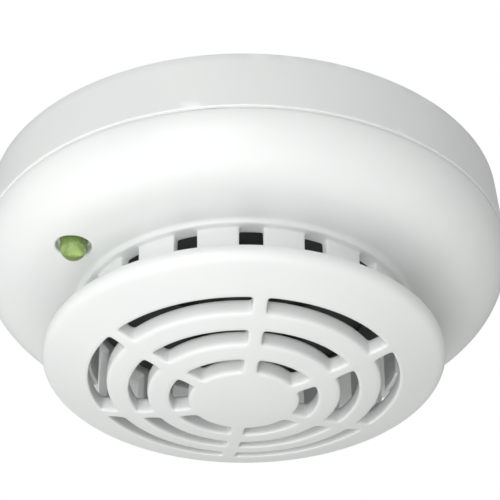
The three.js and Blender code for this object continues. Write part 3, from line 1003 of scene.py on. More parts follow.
    def terminals(self) -> None:
        """Terminal plates with spring leaves, and the screws that clamp the wires."""
        top, bottom = depths("terminal_1")
        half = self.terminal_length / 2
        bend = half + 6
        knee = bottom - self.metal
        sheet = [(-half, top), (half, top), (half + 0.7, top + 0.15), (bend - 0.6, knee - 0.25), (bend, knee),
                 (bend + 0.8, knee), (bend + 3, knee - 0.8), (bend + 3, knee - 0.8 + self.metal),
                 (bend + 0.9, bottom), (bend - 0.1, bottom), (bend - 1.0, bottom - 0.3),
                 (half + 0.4, top + self.metal + 0.15), (half - 0.3, top + self.metal),
                 (-half, top + self.metal)]
        plate = self.strip("Terminal plates", sheet, self.terminal_width)
        hole = rod("hole", SCREW_HOLE_R, top - 1, top + 2)
        combine(plate, [hole], "DIFFERENCE")
        soften(plate, 0.12, 1, 40)
        plates = RINGS.place("Terminal plates", plate, TERMINALS, NICKEL_BRONZE)
        dress(plates, NICKEL_BRONZE, Body.BASE, numbered("terminal", TERMINALS.count))
        set_screws("Terminal screws", "terminal_screw", TERMINALS, Body.BASE, True)

    @staticmethod
    def strip(name: str, edge: Sequence[Pair], width: float) -> Item:
        """Sheet strip whose edge is drawn along the tangent and in depth, as wide as given.

        Args:
            name: Name of the object.
            edge: Corners of the edge, along the tangent and in depth, in mm.
            width: Width of the strip, in mm.

        Returns:
            The object.
        """
        bm = bmesh.new()
        sides = []
        for x in (-width / 2, width / 2):
            sides.append([bm.verts.new(Vector((x, t, -d)) * MM) for t, d in edge])
        bm.faces.new(sides[0])
        bm.faces.new(list(reversed(sides[1])))
        bridge(bm, sides[0], sides[1], range(len(edge)))
        return to_object(name, bm)


# ---- head ------------------------------------------------------------------------------------


@dataclass
class Cover:
    """White cover: rounded shoulder, flat underside and windowed neck. Sizes in mm and degrees."""

    shoulder_r: float = 40.0
    underside: float = 24.0
    fall: float = 0.4
    wall: float = 2.2
    step_r: float = 32.8
    step_height: float = 0.9
    neck_r: float = 31.2
    neck_wall: float = 2.0
    window_count: int = 16
    window_width: float = 4.4
    window_phase: float = -87.5
    light_r: float = 38.9
    light_angle: float = -144.0
    light_hole_r: float = 3.35
    window_columns: int = 3
    post_columns: int = 7
    shoulder_steps: int = 14
    well_wall: float = 1.35
    well_top: float = 18.4
    well_floor: float = 22.4
    well_floor_r: float = 2.65
    boss_r: float = 3.2
    patch_radii: tuple[float, ...] = (43.6, 42.0, 40.4, 38.9, 37.4, 35.8, 34.3)

    def sizes(self) -> None:
        """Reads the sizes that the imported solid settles."""
        low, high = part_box("cover")
        self.body_r = high.x / MM
        self.seam = -high.z / MM
        self.bottom = -low.z / MM

    def depth_at(self, radius: float, inset: float = 0.0) -> float:
        """Depth of the underside or shoulder at a radius, or of its inner face.

        Args:
            radius: Distance from the axis, in mm.
            inset: Distance in from the outer face, in mm.

        Returns:
            The depth, in mm.
        """
        if radius <= self.shoulder_r:
            share = (self.shoulder_r - radius) / (self.shoulder_r - self.step_r)
            return self.underside + self.fall * share - inset
        rx = self.body_r - self.shoulder_r - inset
        rz = self.underside - self.seam - inset
        share = min(1.0, (radius - self.shoulder_r) / rx)
        return self.seam + rz * math.sqrt(1 - share * share)

    def column_angles(self, radius: float) -> list[float]:
        """Angles of the mesh columns at a radius; the windows keep parallel sides."""
        half = math.degrees(math.asin(self.window_width / 2 / radius))
        return field_angles(self.window_count, self.window_phase, half, self.window_columns,
                            self.post_columns)

    def outer_profile(self) -> list[Pair]:
        """Outside of the section from the seam to the lower end of the neck.

        Returns:
            Radius and depth of each corner, in mm.
        """
        rows = [(self.body_r - 0.15, self.seam)]
        rx = self.body_r - self.shoulder_r
        stop = math.acos((self.patch_radii[0] - self.shoulder_r) / rx)
        for i in range(1, self.shoulder_steps):
            a = 0.06 + (stop - 0.06) * (i - 1) / (self.shoulder_steps - 1)
            r = self.shoulder_r + rx * math.cos(a)
            rows.append((r, self.depth_at(r)))
        rows += [(r, self.depth_at(r)) for r in self.patch_radii]
        root = self.depth_at(self.step_r)
        rows += [(self.step_r + 0.5, root - 0.03), (self.step_r, root + 0.12),
                 (self.step_r - 0.2, root + 0.45),
                 (self.step_r - 0.35, root + self.step_height), (self.neck_r, root + self.step_height),
                 (self.neck_r, self.bottom)]
        return rows

    def inner_profile(self) -> list[Pair]:
        """Inside of the section from the lower end of the neck back to the seam.

        Returns:
            Radius and depth of each corner, in mm.
        """
        inner = self.neck_r - self.neck_wall
        root = self.depth_at(self.step_r)
        rows = [(inner, self.bottom), (inner, root + self.step_height), (inner, root - self.wall + 0.5),
                (inner + 0.5, root - self.wall)]
        rows += [(r, self.depth_at(r, self.wall)) for r in reversed(self.patch_radii)]
        reach = self.body_r - self.shoulder_r - self.wall
        for a in (65, 50, 35, 20, 8):
            r = self.shoulder_r + reach * math.cos(math.radians(a))
            if r > self.patch_radii[0] + 0.5:
                rows.append((r, self.depth_at(r, self.wall)))
        rows.append((self.body_r - self.wall, self.seam))
        return rows

    def build(self) -> Item:
        """Builds the cover, rounds its edges and adds the screw bosses.

        Returns:
            The finished object.
        """
        self.sizes()
        bm = bmesh.new()
        outer, inner = self.outer_profile(), self.inner_profile()
        section = outer + inner
        rings: list[Ring] = []
        for radius, depth in section:
            spread = min(max(radius, self.neck_r - self.neck_wall), self.neck_r)
            rings.append([bm.verts.new(polar(radius, a, depth)) for a in self.column_angles(spread)])
        total = len(rings[0])
        per = self.window_columns + self.post_columns
        windows = [j for j in range(total) if j % per < self.window_columns]
        posts = [j for j in range(total) if j % per >= self.window_columns]
        neck_top, neck_low = len(outer) - 2, len(outer) - 1
        inner_low, inner_top = len(outer), len(outer) + 1
        first_outer = self.shoulder_steps
        first_inner = inner_top + 3
        patch = self.patch_columns()
        span = len(self.patch_radii) - 1
        for i in range(len(rings)):
            k = (i + 1) % len(rings)
            columns = list(range(total))
            if i in (neck_top, neck_low, inner_low):
                columns = posts
            elif first_outer <= i < first_outer + span or first_inner <= i < first_inner + span:
                columns = [j for j in columns if j not in patch]
            bridge(bm, rings[i], rings[k], columns)
        bridge(bm, rings[neck_top], rings[inner_top], windows)
        for i in range(self.window_count):
            for j in (i * per, i * per + self.window_columns):
                bm.faces.new([rings[neck_top][j], rings[neck_low][j], rings[inner_low][j],
                              rings[inner_top][j]])
        outside = self.round_hole(bm, rings[first_outer:first_outer + span + 1], patch, 0.0)
        inside = self.round_hole(bm, rings[first_inner:first_inner + span + 1][::-1], patch, self.wall)
        bridge(bm, outside, inside, range(len(outside)))
        item = to_object("Cover", bm)
        soften(item, 0.3, 2, 40, subdivide=True)
        self.add_bosses(item)
        return dress(item, WHITE_ABS, Body.HEAD, ["cover"])

    def patch_columns(self) -> list[int]:
        """Columns of the post under which the light's hole lies.

        Returns:
            Numbers of the columns.
        """
        pitch = 360 / self.window_count
        per = self.window_columns + self.post_columns
        order = int(((self.light_angle - self.window_phase) % 360) // pitch)
        first = order * per + self.window_columns
        return list(range(first, first + self.post_columns))

    def round_hole(self, bm: Build, rows: list[Ring], patch: list[int], inset: float) -> Ring:
        """Fills the patch round the light's hole with a loop of faces.

        Args:
            bm: Mesh under construction.
            rows: Rings across the patch, from the shoulder towards the neck.
            patch: Columns of the patch.
            inset: Distance of this face inside the outer face.

        Returns:
            The vertices round the hole, in order.
        """
        left, right = patch[0], (patch[-1] + 1) % len(rows[0])
        columns = [*patch, right]
        border = [rows[0][j] for j in columns]
        border += [row[right] for row in rows[1:-1]]
        border += [rows[-1][j] for j in reversed(columns)]
        border += [row[left] for row in reversed(rows[1:-1])]
        centre = polar(self.light_r, self.light_angle, 0)
        loops = [border]
        for radius in (self.light_hole_r + 0.5, self.light_hole_r):
            loop = []
            for v in border:
                way = (v.co - centre).to_2d().normalized()
                spot = centre.to_2d() + way * radius * MM
                depth = self.depth_at(spot.length / MM, inset)
                loop.append(bm.verts.new((spot.x, spot.y, -depth * MM)))
            loops.append(loop)
        self.even_out(loops[1], centre.to_2d(), self.light_hole_r + 0.5, inset)
        self.even_out(loops[2], centre.to_2d(), self.light_hole_r, inset)
        bridge(bm, loops[0], loops[1], range(len(border)))
        bridge(bm, loops[1], loops[2], range(len(border)))
        return loops[2]

    def even_out(self, loop: Ring, centre: Vector, radius: float, inset: float) -> None:
        """Spaces a loop's vertices evenly round a circle, starting from the first one.

        Args:
            loop: Vertices to space out.
            centre: Centre of the circle in plan, in metres.
            radius: Radius of the circle, in mm.
            inset: Distance in from the outer face, in mm.
        """
        first = loop[0].co.to_2d() - centre
        start = math.atan2(first.y, first.x)
        second = loop[1].co.to_2d() - centre
        way = 1 if first.cross(second) > 0 else -1
        for i, v in enumerate(loop):
            a = start + way * math.tau * i / len(loop)
            spot = centre + Vector((math.cos(a), math.sin(a))) * radius * MM
            v.co = (spot.x, spot.y, -self.depth_at(spot.length / MM, inset) * MM)

    def add_bosses(self, item: Item) -> None:
        """Adds the three screw bosses and the tube round the light to the inside of the cover.

        Args:
            item: The cover.
        """
        top = self.seam + 0.1
        low = self.depth_at(COVER_SCREWS.radius + self.boss_r, self.wall / 2)
        floor = low - self.wall / 2 - 0.4
        boss = revolve("boss", [(1.8, top), (self.boss_r - 0.2, top), (self.boss_r, top + 0.2),
                                (self.boss_r, low),
                                (0, low), (0, floor), (1.8, floor)], 32)
        bosses = RINGS.place("bosses", boss, COVER_SCREWS, WHITE_ABS)
        bosses.data.materials.clear()
        hole, wall = self.light_hole_r + 0.05, self.light_hole_r + self.well_wall
        well_low = self.underside - self.wall / 2
        well = revolve("well", [(hole, self.well_top + 0.2), (hole + 0.2, self.well_top),
                                (wall, self.well_top),
                                (wall, well_low), (hole, well_low), (hole, self.well_floor),
                                (self.well_floor_r, self.well_floor),
                                (self.well_floor_r, self.well_floor - 0.8),
                                (hole, self.well_floor - 0.8)], 40)
        merge([item, bosses, moved(well, self.light_r, self.light_angle)])


def merge(items: Sequence[Item]) -> Item:
    """Joins the meshes of several objects into the first.

    Args:
        items: Objects to join; the first one stays.

    Returns:
        The first object.
    """
    target = items[0]
    bm = bmesh.new()
    slots: list[bpy.types.Material] = list(target.data.materials)
    for item in items:
        offset = len(bm.faces)
        bm.from_mesh(item.data)
        bm.faces.ensure_lookup_table()
        for material in item.data.materials:
            if material not in slots:
                slots.append(material)
        for face in bm.faces[offset:]:
            if item.data.materials:
                face.material_index = slots.index(item.data.materials[face.material_index])
    mesh = bpy.data.meshes.new(target.name)
    bm.to_mesh(mesh)
    bm.free()
    for material in slots:
        mesh.materials.append(material)
    target.data = mesh
    for item in items[1:]:
        bpy.data.objects.remove(item)
    return target


@dataclass
class GrilleCap:
    """Domed cap with rings of slots between spokes. Sizes in mm and degrees."""

    thickness: float = 3.25
    rim_thickness: float = 2.7
    rise: float = 8.1
    slot_rings: int = 3
    slot_opening: float = 3.5
    slot_pitch: float = 7.75
    slot_outer: float = 29.5
    spoke_count: int = 6
    spoke_width: float = 2.7
    spoke_phase: float = -84.0
    spoke_columns: int = 2
    slot_columns: int = 16
    clip_spokes: tuple[int, ...] = (2, 5)
    edge: float = 0.45

    def sizes(self) -> None:
        """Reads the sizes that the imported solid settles."""
        low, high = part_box("grille_cap")
        self.cap_r = high.x / MM
        self.height = -low.z / MM
        outer_edges = [self.slot_outer - self.slot_pitch * (self.slot_rings - 1 - i)
                       for i in range(self.slot_rings)]
        self.bands = [(edge - self.slot_opening, edge) for edge in outer_edges]

    def depth_at(self, radius: float) -> float:
        """Depth of the dome's outer face at a radius."""
        return self.height - self.rise * (radius / self.cap_r) ** 2

    def inner_depth_at(self, radius: float) -> float:
        """Depth of the dome's inner face at a radius; the skin thins from the slots to the rim."""
        share = max(0.0, (radius - self.slot_outer) / (self.cap_r - self.slot_outer))
        return self.depth_at(radius) - self.thickness + (self.thickness - self.rim_thickness) * share

    def section(self) -> tuple[list[Pair], list[Pair]]:
        """Outer and inner half of the section, each from the axis to the rim.

        Returns:
            Both halves, as radius and depth in mm.
        """
        radii = [0.0, 4.0, 7.5]
        for r0, r1 in self.bands:
            radii += [r0, r1]
        radii += [32.0, 34.5]
        outer = [(r, self.depth_at(r)) for r in radii]
        inner = [(r, self.inner_depth_at(r)) for r in radii]
        rim = self.cap_r
        low = self.depth_at(rim - 1.6)
        outer += [(rim - 1.6, low), (rim - 0.95, low - 0.32), (rim - 0.4, low - 0.85),
                  (rim - 0.1, low - 1.45),
                  (rim, low - 2.0)]
        top = self.inner_depth_at(rim)
        inner += [(rim - 1.8, self.inner_depth_at(rim - 1.8)), (rim - 0.75, top + 0.02),
                  (rim - 0.3, top + 0.25), (rim - 0.08, top + 0.65)]
        return outer, inner

    def column_angles(self, radius: float) -> list[float]:
        """Angles of the mesh columns at a radius; the spokes keep parallel sides.

        Args:
            radius: Distance from the axis, in mm.

        Returns:
            The angles, in degrees.
        """
        clamped = min(max(radius, self.bands[0][0]), self.bands[-1][1])
        half = math.degrees(math.asin(self.spoke_width / 2 / clamped))
        return field_angles(self.spoke_count, self.spoke_phase, half, self.spoke_columns, self.slot_columns)

    def ring(self, bm: Build, radius: float, depth: float) -> Ring:
        """Ring of vertices, or one vertex repeated at the axis.

        Args:
            bm: Mesh under construction.
            radius: Distance from the axis, in mm.
            depth: Depth below the ceiling, in mm.

        Returns:
            The vertices.
        """
        angles = self.column_angles(radius)
        if radius < 1e-6:
            return [bm.verts.new(polar(0, 0, depth))] * len(angles)
        return [bm.verts.new(polar(radius, a, depth)) for a in angles]

    def build(self) -> Item:
        """Builds the cap with its slots, rounds the edges and adds the snap clips.

        Returns:
            The finished object.
        """
        self.sizes()
        bm = bmesh.new()
        outer_points, inner_points = self.section()
        outer = [self.ring(bm, r, d) for r, d in outer_points]
        inner = [self.ring(bm, r, d) for r, d in inner_points]
        total = len(outer[-1])
        per = self.spoke_columns + self.slot_columns
        slots = [j for j in range(total) if j % per >= self.spoke_columns]
        bars = [j for j in range(total) if j % per < self.spoke_columns]
        open_rows = {3 + 2 * i for i in range(len(self.bands))}
        for rows in (outer, inner):
            for i in range(len(rows) - 1):
                bridge(bm, rows[i], rows[i + 1], bars if i in open_rows else range(total))
        bridge(bm, outer[-1], inner[-1], range(total))
        for i in open_rows:
            for row in (i, i + 1):
                bridge(bm, outer[row], inner[row], slots)
            for k in range(self.spoke_count):
                for j in (k * per + self.spoke_columns, (k + 1) * per % total):
                    bm.faces.new([outer[i][j], outer[i + 1][j], inner[i + 1][j], inner[i][j]])
        item = to_object("Grille cap", bm)
        soften(item, self.edge, 2, 40, subdivide=True)
        merge([item, *[self.clip(i) for i in self.clip_spokes]])
        return dress(item, WHITE_ABS, Body.HEAD, ["grille_cap"])

    def clip(self, order: int) -> Item:
        """Snap clip that stands on a spoke inside the neck.

        Args:
            order: Number of the spoke it stands on.

        Returns:
            The object.
        """
        outer = 28.9
        low = self.depth_at(outer) - self.thickness / 2
        a = self.spoke_phase + 360 * order / self.spoke_count
        clip = MountingBase.arc(outer - 1.6, outer, a - 2.4, a + 2.4, low - 6.5, low, 2)
        return soften(clip, 0.2, 2, 40)


@dataclass
class SensorChamber:
    """Black carrier behind the windows and the sensing bead that hangs from it."""

    bore_r: float = 2.6
    turret_r: float = 8.0
    plate: float = 1.5
    ring_inset: float = 5.0
    ring_half: float = 0.6
    fin_count: int = 12
    fin_width: float = 0.9
    fin_height: float = 0.6
    fin_phase: float = 15.0

    def build(self) -> None:
        """Builds the carrier and the bead."""
        self.carrier()
        self.bead()

    def carrier(self) -> Item:
        """Plate with a turret, a stiffening ring and fins between them.

        Returns:
            The object.
        """
        low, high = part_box("sensor_carrier")
        top, bottom, r = -high.z / MM, -low.z / MM, high.x / MM
        plate_low = top + self.plate
        ring_r = r - self.ring_inset
        ring_low = plate_low + self.ring_half
        item = revolve("Sensor carrier", [
            (self.bore_r, top), (self.bore_r, bottom - 0.2), (self.bore_r + 0.2, bottom),
            (self.turret_r - 2.8, bottom), (self.turret_r - 2.5, bottom - 0.3),
            (self.turret_r - 0.2, plate_low + 0.6), (self.turret_r + 0.4, plate_low),
            (ring_r - self.ring_half, plate_low), (ring_r - self.ring_half + 0.1, ring_low),
            (ring_r + self.ring_half - 0.1, ring_low), (ring_r + self.ring_half, plate_low),
            (r - 0.2, plate_low), (r, plate_low - 0.2), (r, top + 0.3), (r - 0.3, top),
        ], 128)
        fin = block("fin", (ring_r - self.turret_r + 1.0, self.fin_width), plate_low - 0.4,
                    plate_low + self.fin_height, (ring_r + self.turret_r - 1.0) / 2)
        fins = RINGS.place("fins", fin, Layout(self.fin_count, 0.0, self.fin_phase), BLACK_NYLON)
        combine(item, [fins], "UNION")
        item.data.materials.clear()
        soften(item, 0.12, 1, 40)
        return dress(item, BLACK_NYLON, Body.HEAD, ["sensor_carrier"])

    def bead(self) -> Item:
        """Dipped bead on two tinned legs.

        Returns:
            The object.
        """
        low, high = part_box("thermistor")
        return dress(sensor_bead("Sensing bead", -high.z / MM, -low.z / MM, high.x / MM, Vector((0, 0, 0))),
                     BEAD_EPOXY, Body.HEAD, ["thermistor"])


def sensor_bead(name: str, top: float, bottom: float, radius: float, at: Vector) -> Item:
    """Bead on two legs.

    Args:
        name: Object name.
        top: Depth of the upper end of the legs, mm.
        bottom: Depth of the lowest point of the bead, mm.
        radius: Radius of the bead, mm.
        at: Centre in plan, mm.

    Returns:
        The bead, with the legs as its second material.
    """
    tall = 2.4 * radius
    profile: list[Pair] = []
    for i in range(13):
        a = math.radians(-90 + 15 * i)
        neck = 0.86 if i < 5 else 1.0
        profile.append((radius * math.cos(a) * neck if 0 < i < 12 else 0.0,
                        bottom - tall / 2 + tall / 2 * math.sin(a)))
    bead = revolve(name, profile, 32)
    bead.data.materials.append(BEAD_EPOXY.build())
    legs = []
    for x in (-0.8, 0.8):
        leg = rod("leg", 0.25, top, bottom - tall * 0.7, 12)
        leg.data.transform(Matrix.Translation((x * MM, 0, 0)))
        leg.data.materials.append(TINNED_WIRE.build())
        legs.append(leg)
    merge([bead, *legs])
    bead.data.transform(Matrix.Translation((at.x * MM, at.y * MM, 0)))
    return bead


@dataclass
class StatusLight:
    """Green light in the underside with the sleeve that holds it off the board."""

    lens_r: float = 2.5
    flange_r: float = 2.9
    flange: float = 1.0
    cup_r: float = 1.5
    cup_below: float = 2.6
    leg: float = 0.5

    def build(self) -> None:
        """Builds the lens, its inside and the sleeve."""
        low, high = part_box("status_led")
        centre = (low + high) / 2
        self.lens(-high.z / MM, -low.z / MM, Vector((centre.x, centre.y, 0)))
        self.sleeve(Vector((centre.x, centre.y, 0)))

    def lens(self, top: float, bottom: float, at: Vector) -> None:
        """Domed lens with the reflector cup and the leg that show through it.

        Args:
            top: Depth of the back of the flange, mm.
            bottom: Depth of the lowest point of the dome, mm.
            at: Centre in plan, metres.
        """
        profile: list[Pair] = [(0, top), (self.flange_r - 0.1, top), (self.flange_r, top + 0.1),
                               (self.flange_r, top + self.flange - 0.1),
                               (self.flange_r - 0.1, top + self.flange),
                               (self.lens_r, top + self.flange)]
        profile += [(self.lens_r * math.cos(math.radians(a)) if a < 90 else 0.0,
                     bottom - self.lens_r + self.lens_r * math.sin(math.radians(a))) for a in range(0, 91, 9)]
        lens = revolve("Status light", profile, 64)
        lens.data.materials.append(GREEN_LENS.build())
        cup_low = bottom - self.cup_below
        cup = revolve("cup", [(0, top + 0.4), (self.cup_r - 0.6, top + 0.4), (self.cup_r, cup_low),
                              (self.cup_r - 0.3, cup_low), (0.3, cup_low - 0.6), (0, cup_low - 0.6)], 24)
        anvil = block("anvil", (self.leg, 2 * self.cup_r), top + 0.4, cup_low - 0.4, self.cup_r + 0.5)
        for piece in (cup, anvil):
            piece.data.materials.append(TINNED_WIRE.build())
        merge([lens, cup, anvil])
        lens.data.transform(Matrix.Translation(at))
        dress(lens, GREEN_LENS, Body.HEAD, ["status_led"])

    def sleeve(self, at: Vector) -> None:
        """Short black tube between the board and the light, centred in plan at a place in metres.

        Args:
            at: Place in plan, in metres.
        """
        top, bottom = depths("led_spacer")
        outer = self.flange_r
        sleeve = revolve("Light sleeve", [(1.0, top), (1.0, bottom), (outer - 0.2, bottom),
                                          (outer, bottom - 0.2),
                                          (outer, top + 0.2), (outer - 0.2, top)], 40)
        sleeve.data.transform(Matrix.Translation(at))
        dress(sleeve, BLACK_NYLON, Body.HEAD, ["led_spacer"])


@dataclass
class Chassis:
    """White plate that closes the head, with its rim, bayonet lugs, posts and contact blades."""

    plate: float = 1.6
    plate_top: float = 11.4
    rim_wall: float = 1.6
    rim_out: float = 44.6
    lug_arc: float = 16.0
    lug_thick: float = 1.5
    post_r: float = 3.2
    blade_width: float = 6.5
    blade_length: float = 12.0
    metal: float = 0.8

    def build(self) -> None:
        """Builds the plate, the blades and the screws."""
        self.moulding()
        self.blades()
        self.screws()

    def moulding(self) -> Item:
        """Plate with rim, lugs, ribs and posts.

        Returns:
            The object.
        """
        low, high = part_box("chassis")
        out_r, lug_top, bottom = high.x / MM, -high.z / MM, -low.z / MM
        plate_low = self.plate_top + self.plate
        rim_in = self.rim_out - self.rim_wall
        body = revolve("Chassis plate", [
            (0, self.plate_top), (rim_in - 0.6, self.plate_top), (rim_in, self.plate_top - 0.6),
            (rim_in, lug_top + 0.2), (rim_in + 0.2, lug_top), (self.rim_out - 0.2, lug_top),
            (self.rim_out, lug_top + 0.2), (self.rim_out, self.plate_top), (out_r - 0.3, self.plate_top),
            (out_r, self.plate_top + 0.3), (out_r, plate_low - 0.3), (out_r - 0.3, plate_low), (0, plate_low),
        ], 160)
        half = self.lug_arc / 2
        lug = MountingBase.arc(rim_in + 0.5, out_r, -half, half, lug_top, lug_top + self.lug_thick, 8)
        lugs = RINGS.place("lugs", lug, LUGS, WHITE_ABS)
        post = rod("post", self.post_r, plate_low - 0.5, bottom)
        posts = RINGS.place("posts", post, BOARD_POSTS, WHITE_ABS)
        ring = revolve("ring", [(9.0, self.plate_top - 0.5), (10.0, self.plate_top - 0.5),
                                (10.0, self.plate_top + 0.5), (9.0, self.plate_top + 0.5)], 96)
        combine(body, [lugs, posts, ring], "UNION")
        hole = rod("hole", SCREW_HOLE_R, 10, 14)
        holes = RINGS.place("holes", hole, COVER_SCREWS, WHITE_ABS)
        well = rod("well", SCREW_HOLE_R, plate_low - 0.6, bottom + 1)
        wells = RINGS.place("wells", well, BOARD_POSTS, WHITE_ABS)
        combine(body, [holes, wells], "DIFFERENCE")
        body.data.materials.clear()
        soften(body, 0.15, 1, 40)
        return dress(body, WHITE_ABS, Body.HEAD, ["chassis"])

    def blades(self) -> None:
        """Nickel blades that meet the spring leaves of the terminals."""
        top, foot = depths("contact_blade_1")
        half = self.blade_length / 2
        upper = [(-half, foot - self.metal), (-half + 1.9, foot - self.metal),
                 (-half + 2.3, foot - self.metal - 0.3),
                 (-half + 2.8, top + 0.2), (-half + 3.3, top)]
        edge = [(-half, foot), *upper, *[(-t, d) for t, d in reversed(upper)], (half, foot),
                (half - 2.4, foot), (half - 3.4, top + self.metal), (-half + 3.4, top + self.metal),
                (-half + 2.4, foot)]
        blade = MountingBase.strip("blade", edge, self.blade_width)
        soften(blade, 0.12, 1, 40)
        blades = RINGS.place("Contact blades", blade, BLADES, NICKEL_BRONZE)
        dress(blades, NICKEL_BRONZE, Body.HEAD, numbered("contact_blade", BLADES.count))

    def screws(self) -> None:
        """Screws from the chassis into the cover, and from below into the board posts."""
        set_screws("Cover screws", "cover_screw", COVER_SCREWS, Body.HEAD, False)
        set_screws("Board screws", "board_screw", BOARD_POSTS, Body.HEAD, True)


@dataclass
class CircuitBoard:
    """Round board with the parts that hang from its lower face."""

    boss_notch_r: float = 3.8
    lead: float = 0.45

    def build(self) -> None:
        """Builds the board and its parts."""
        self.panel()
        self.chip("microcontroller", "Microcontroller", 8)
        self.chip("bridge_rectifier", "Bridge rectifier", 4)
        self.capacitor()
        low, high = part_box("reference_thermistor")
        centre = (low + high) / 2 / MM
        bead = sensor_bead("Reference bead", -high.z / MM, -low.z / MM, 1.25, centre)
        dress(bead, BEAD_EPOXY, Body.HEAD, ["reference_thermistor"])

    def panel(self) -> None:
        """The lacquered board with its notches and screw holes."""
        low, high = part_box("circuit_board")
        r, top, bottom = high.x / MM, -high.z / MM, -low.z / MM
        board = rod("Circuit board", r, top, bottom, 128)
        notch = rod("notch", self.boss_notch_r, top - 1, bottom + 1, 40)
        notches = RINGS.place("notches", notch, COVER_SCREWS, GREEN_BOARD)
        hole = rod("hole", SCREW_HOLE_R, top - 1, bottom + 1)
        holes = RINGS.place("holes", hole, BOARD_POSTS, GREEN_BOARD)
        combine(board, [notches, holes], "DIFFERENCE")
        board.data.materials.clear()
        soften(board, 0.08, 1, 40)
        dress(board, GREEN_BOARD, Body.HEAD, ["circuit_board"])

    def chip(self, node: str, name: str, legs: int) -> None:
        """Moulded package with gull legs, at the place and turn of its solid.

        Args:
            node: Solid it stands for.
            name: Name of the piece.
            legs: Number of legs, both sides together.
        """
        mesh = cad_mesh(node)
        corners = sorted({(round(v.x, 6), round(v.y, 6)) for v in mesh})
        low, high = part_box(node)
        centre = (low + high) / 2 / MM
        first = Vector(corners[0])
        near = sorted((Vector(c) for c in corners[1:]), key=lambda c: (c - first).length)
        across, along = near[0] - first, near[1] - first
        size = (along.length / MM, across.length / MM)
        turn = math.degrees(math.atan2(along.y, along.x))
        top, bottom = -high.z / MM, -low.z / MM
        body = block(node, (size[0] - 1.2, size[1] - 0.6), top + 0.1, bottom)
        soften(body, 0.15, 2, 40)
        body.name = name
        body.data.materials.append(CHIP_EPOXY.build())
        pieces = [body]
        half = size[1] / 2 - 0.7
        for side in (-1, 1):
            for i in range(legs // 2):
                y = -half + 2 * half * i / max(1, legs // 2 - 1)
                leg = block("leg", (1.1, self.lead), top, top + 0.6, side * (size[0] / 2 - 0.55))
                leg.data.transform(Matrix.Translation((0, y * MM, 0)))
                leg.data.materials.append(TINNED_WIRE.build())
                pieces.append(leg)
        merge(pieces)
        body.data.transform(Matrix.Translation((centre.x * MM, centre.y * MM, 0)) @ Matrix.Rotation(
            math.radians(turn), 4, "Z"))
        dress(body, CHIP_EPOXY, Body.HEAD, [node])

    def capacitor(self) -> None:
        """Sleeved capacitor lying on the board, along the tangent of its place."""
        low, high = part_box("capacitor")
        centre = (low + high) / 2
        radius = (high.z - low.z) / 2 / MM
        angle = math.atan2(centre.y, centre.x)
        profile = [(0, -4), (radius - 0.5, -4), (radius - 0.1, -3.9), (radius, -3.5), (radius, -2.9),
                   (radius - 0.25, -2.6), (radius, -2.3), (radius, 3.6), (radius - 0.3, 3.95),
                   (radius - 0.6, 4),
                   (0, 4)]
        can = revolve("Capacitor", profile, 48)
        turn = Matrix.Rotation(angle, 4, "Z") @ Matrix.Rotation(math.pi / 2, 4, "X")
        can.data.transform(Matrix.Translation(centre) @ turn)
        dress(can, BLUE_SLEEVE, Body.HEAD, ["capacitor"])


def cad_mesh(node: str) -> list[Vector]:
    """Vertices of a CAD node in metres."""
    return [v.co.copy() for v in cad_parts[node].data.vertices]


# ---- studio ----------------------------------------------------------------------------------


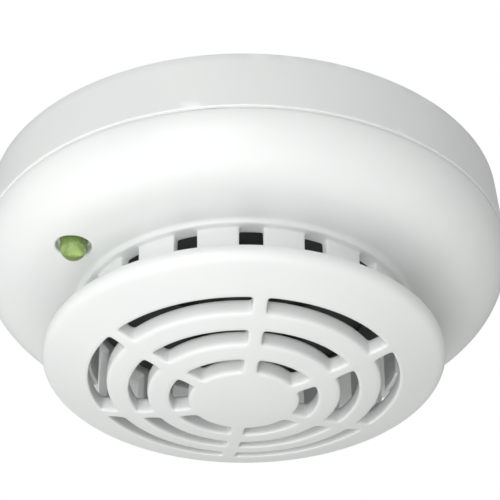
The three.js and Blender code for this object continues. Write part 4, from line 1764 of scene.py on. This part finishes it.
@dataclass
class Studio:
    """Floor, soft lights, pale surroundings and the camera. Lengths in metres."""

    floor_depth: float = 0.75
    floor_size: float = 16.0
    lens: float = 158.4
    camera_at: tuple[float, float, float] = (0.0, -0.35976, -0.25128)
    pitch: float = 33.914
    shift_x: float = 0.0123
    light_below: float = 0.86
    light_above: float = 0.45

    def build(self) -> None:
        """Builds everything that isn't the object."""
        self.floor()
        self.surroundings()
        self.lights()
        self.camera()
        bpy.context.scene.view_settings.view_transform = "Standard"

    def floor(self) -> None:
        """Plain pale floor well below the object."""
        half = self.floor_size / 2
        bm = bmesh.new()
        bm.faces.new([bm.verts.new((x, y, -self.floor_depth))
                      for x, y in ((-half, -half), (half, -half), (half, half), (-half, half))])
        floor = to_object("Floor", bm)
        floor.data.materials.append(PALE_FLOOR.build())

    def surroundings(self) -> None:
        """White surroundings that light less than they show, and more from below than from above."""
        world = bpy.data.worlds.new("Pale room")
        world.use_nodes = True
        tree = world.node_tree
        tree.nodes.clear()
        path = add_node(tree, "ShaderNodeLightPath")
        coords = add_node(tree, "ShaderNodeTexCoord")
        height = add_node(tree, "ShaderNodeSeparateXYZ", inputs={"Vector": coords.outputs["Generated"]})
        light = add_node(tree, "ShaderNodeMapRange", inputs={
            "Value": height.outputs["Z"], "From Min": -0.2, "From Max": 0.3,
            "To Min": self.light_below, "To Max": self.light_above})
        strength = add_node(tree, "ShaderNodeMapRange", inputs={
            "Value": path.outputs["Is Camera Ray"], "To Min": light.outputs["Result"], "To Max": 1.0})
        background = add_node(tree, "ShaderNodeBackground", inputs={
            "Color": (1.0, 1.0, 1.0, 1.0), "Strength": strength.outputs["Result"]})
        add_node(tree, "ShaderNodeOutputWorld", inputs={"Surface": background.outputs["Background"]})
        bpy.context.scene.world = world

    def lights(self) -> None:
        """Large soft lights: one from the front, one from below."""
        self.area("Key light", (-0.25, -0.85, -0.25), 0.6, 2.5)
        self.area("Fill light", (-0.22, -0.25, -0.6), 0.9, 3.7)

    @staticmethod
    def area(name: str, at: tuple[float, float, float], size: float, power: float) -> None:
        """Square soft light aimed at the object.

        Args:
            name: Name of the light.
            at: Position.
            size: Side of the square.
            power: Power in watts.
        """
        data = bpy.data.lights.new(name, "AREA")
        data.size = size
        data.energy = power
        light = bpy.data.objects.new(name, data)
        light.location = at
        light.rotation_mode = "QUATERNION"
        light.rotation_quaternion = (Vector((0, 0, -0.02)) - Vector(at)).to_track_quat("-Z", "Y")
        bpy.context.scene.collection.objects.link(light)

    def camera(self) -> None:
        """Camera below and in front of the object, looking up."""
        data = bpy.data.cameras.new("Camera")
        data.lens = self.lens
        data.sensor_width = 36.0
        data.shift_x = self.shift_x
        data.clip_start = 0.01
        data.clip_end = 20.0
        camera = bpy.data.objects.new("Camera", data)
        camera.location = self.camera_at
        camera.rotation_euler = (math.radians(90 + self.pitch), 0.0, 0.0)
        bpy.context.scene.collection.objects.link(camera)
        bpy.context.scene.camera = camera


def corners(box: tuple[Vector, Vector]) -> list[list[float]]:
    """A box as plain lists."""
    return [list(box[0]), list(box[1])]


def main() -> None:
    """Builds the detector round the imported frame, then the studio."""
    logging.basicConfig(level=logging.INFO, format="%(name)s: %(message)s")
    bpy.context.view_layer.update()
    MountingBase().build()
    Cover().build()
    GrilleCap().build()
    SensorChamber().build()
    StatusLight().build()
    Chassis().build()
    CircuitBoard().build()
    Studio().build()


if __name__ == "__main__":
    main()
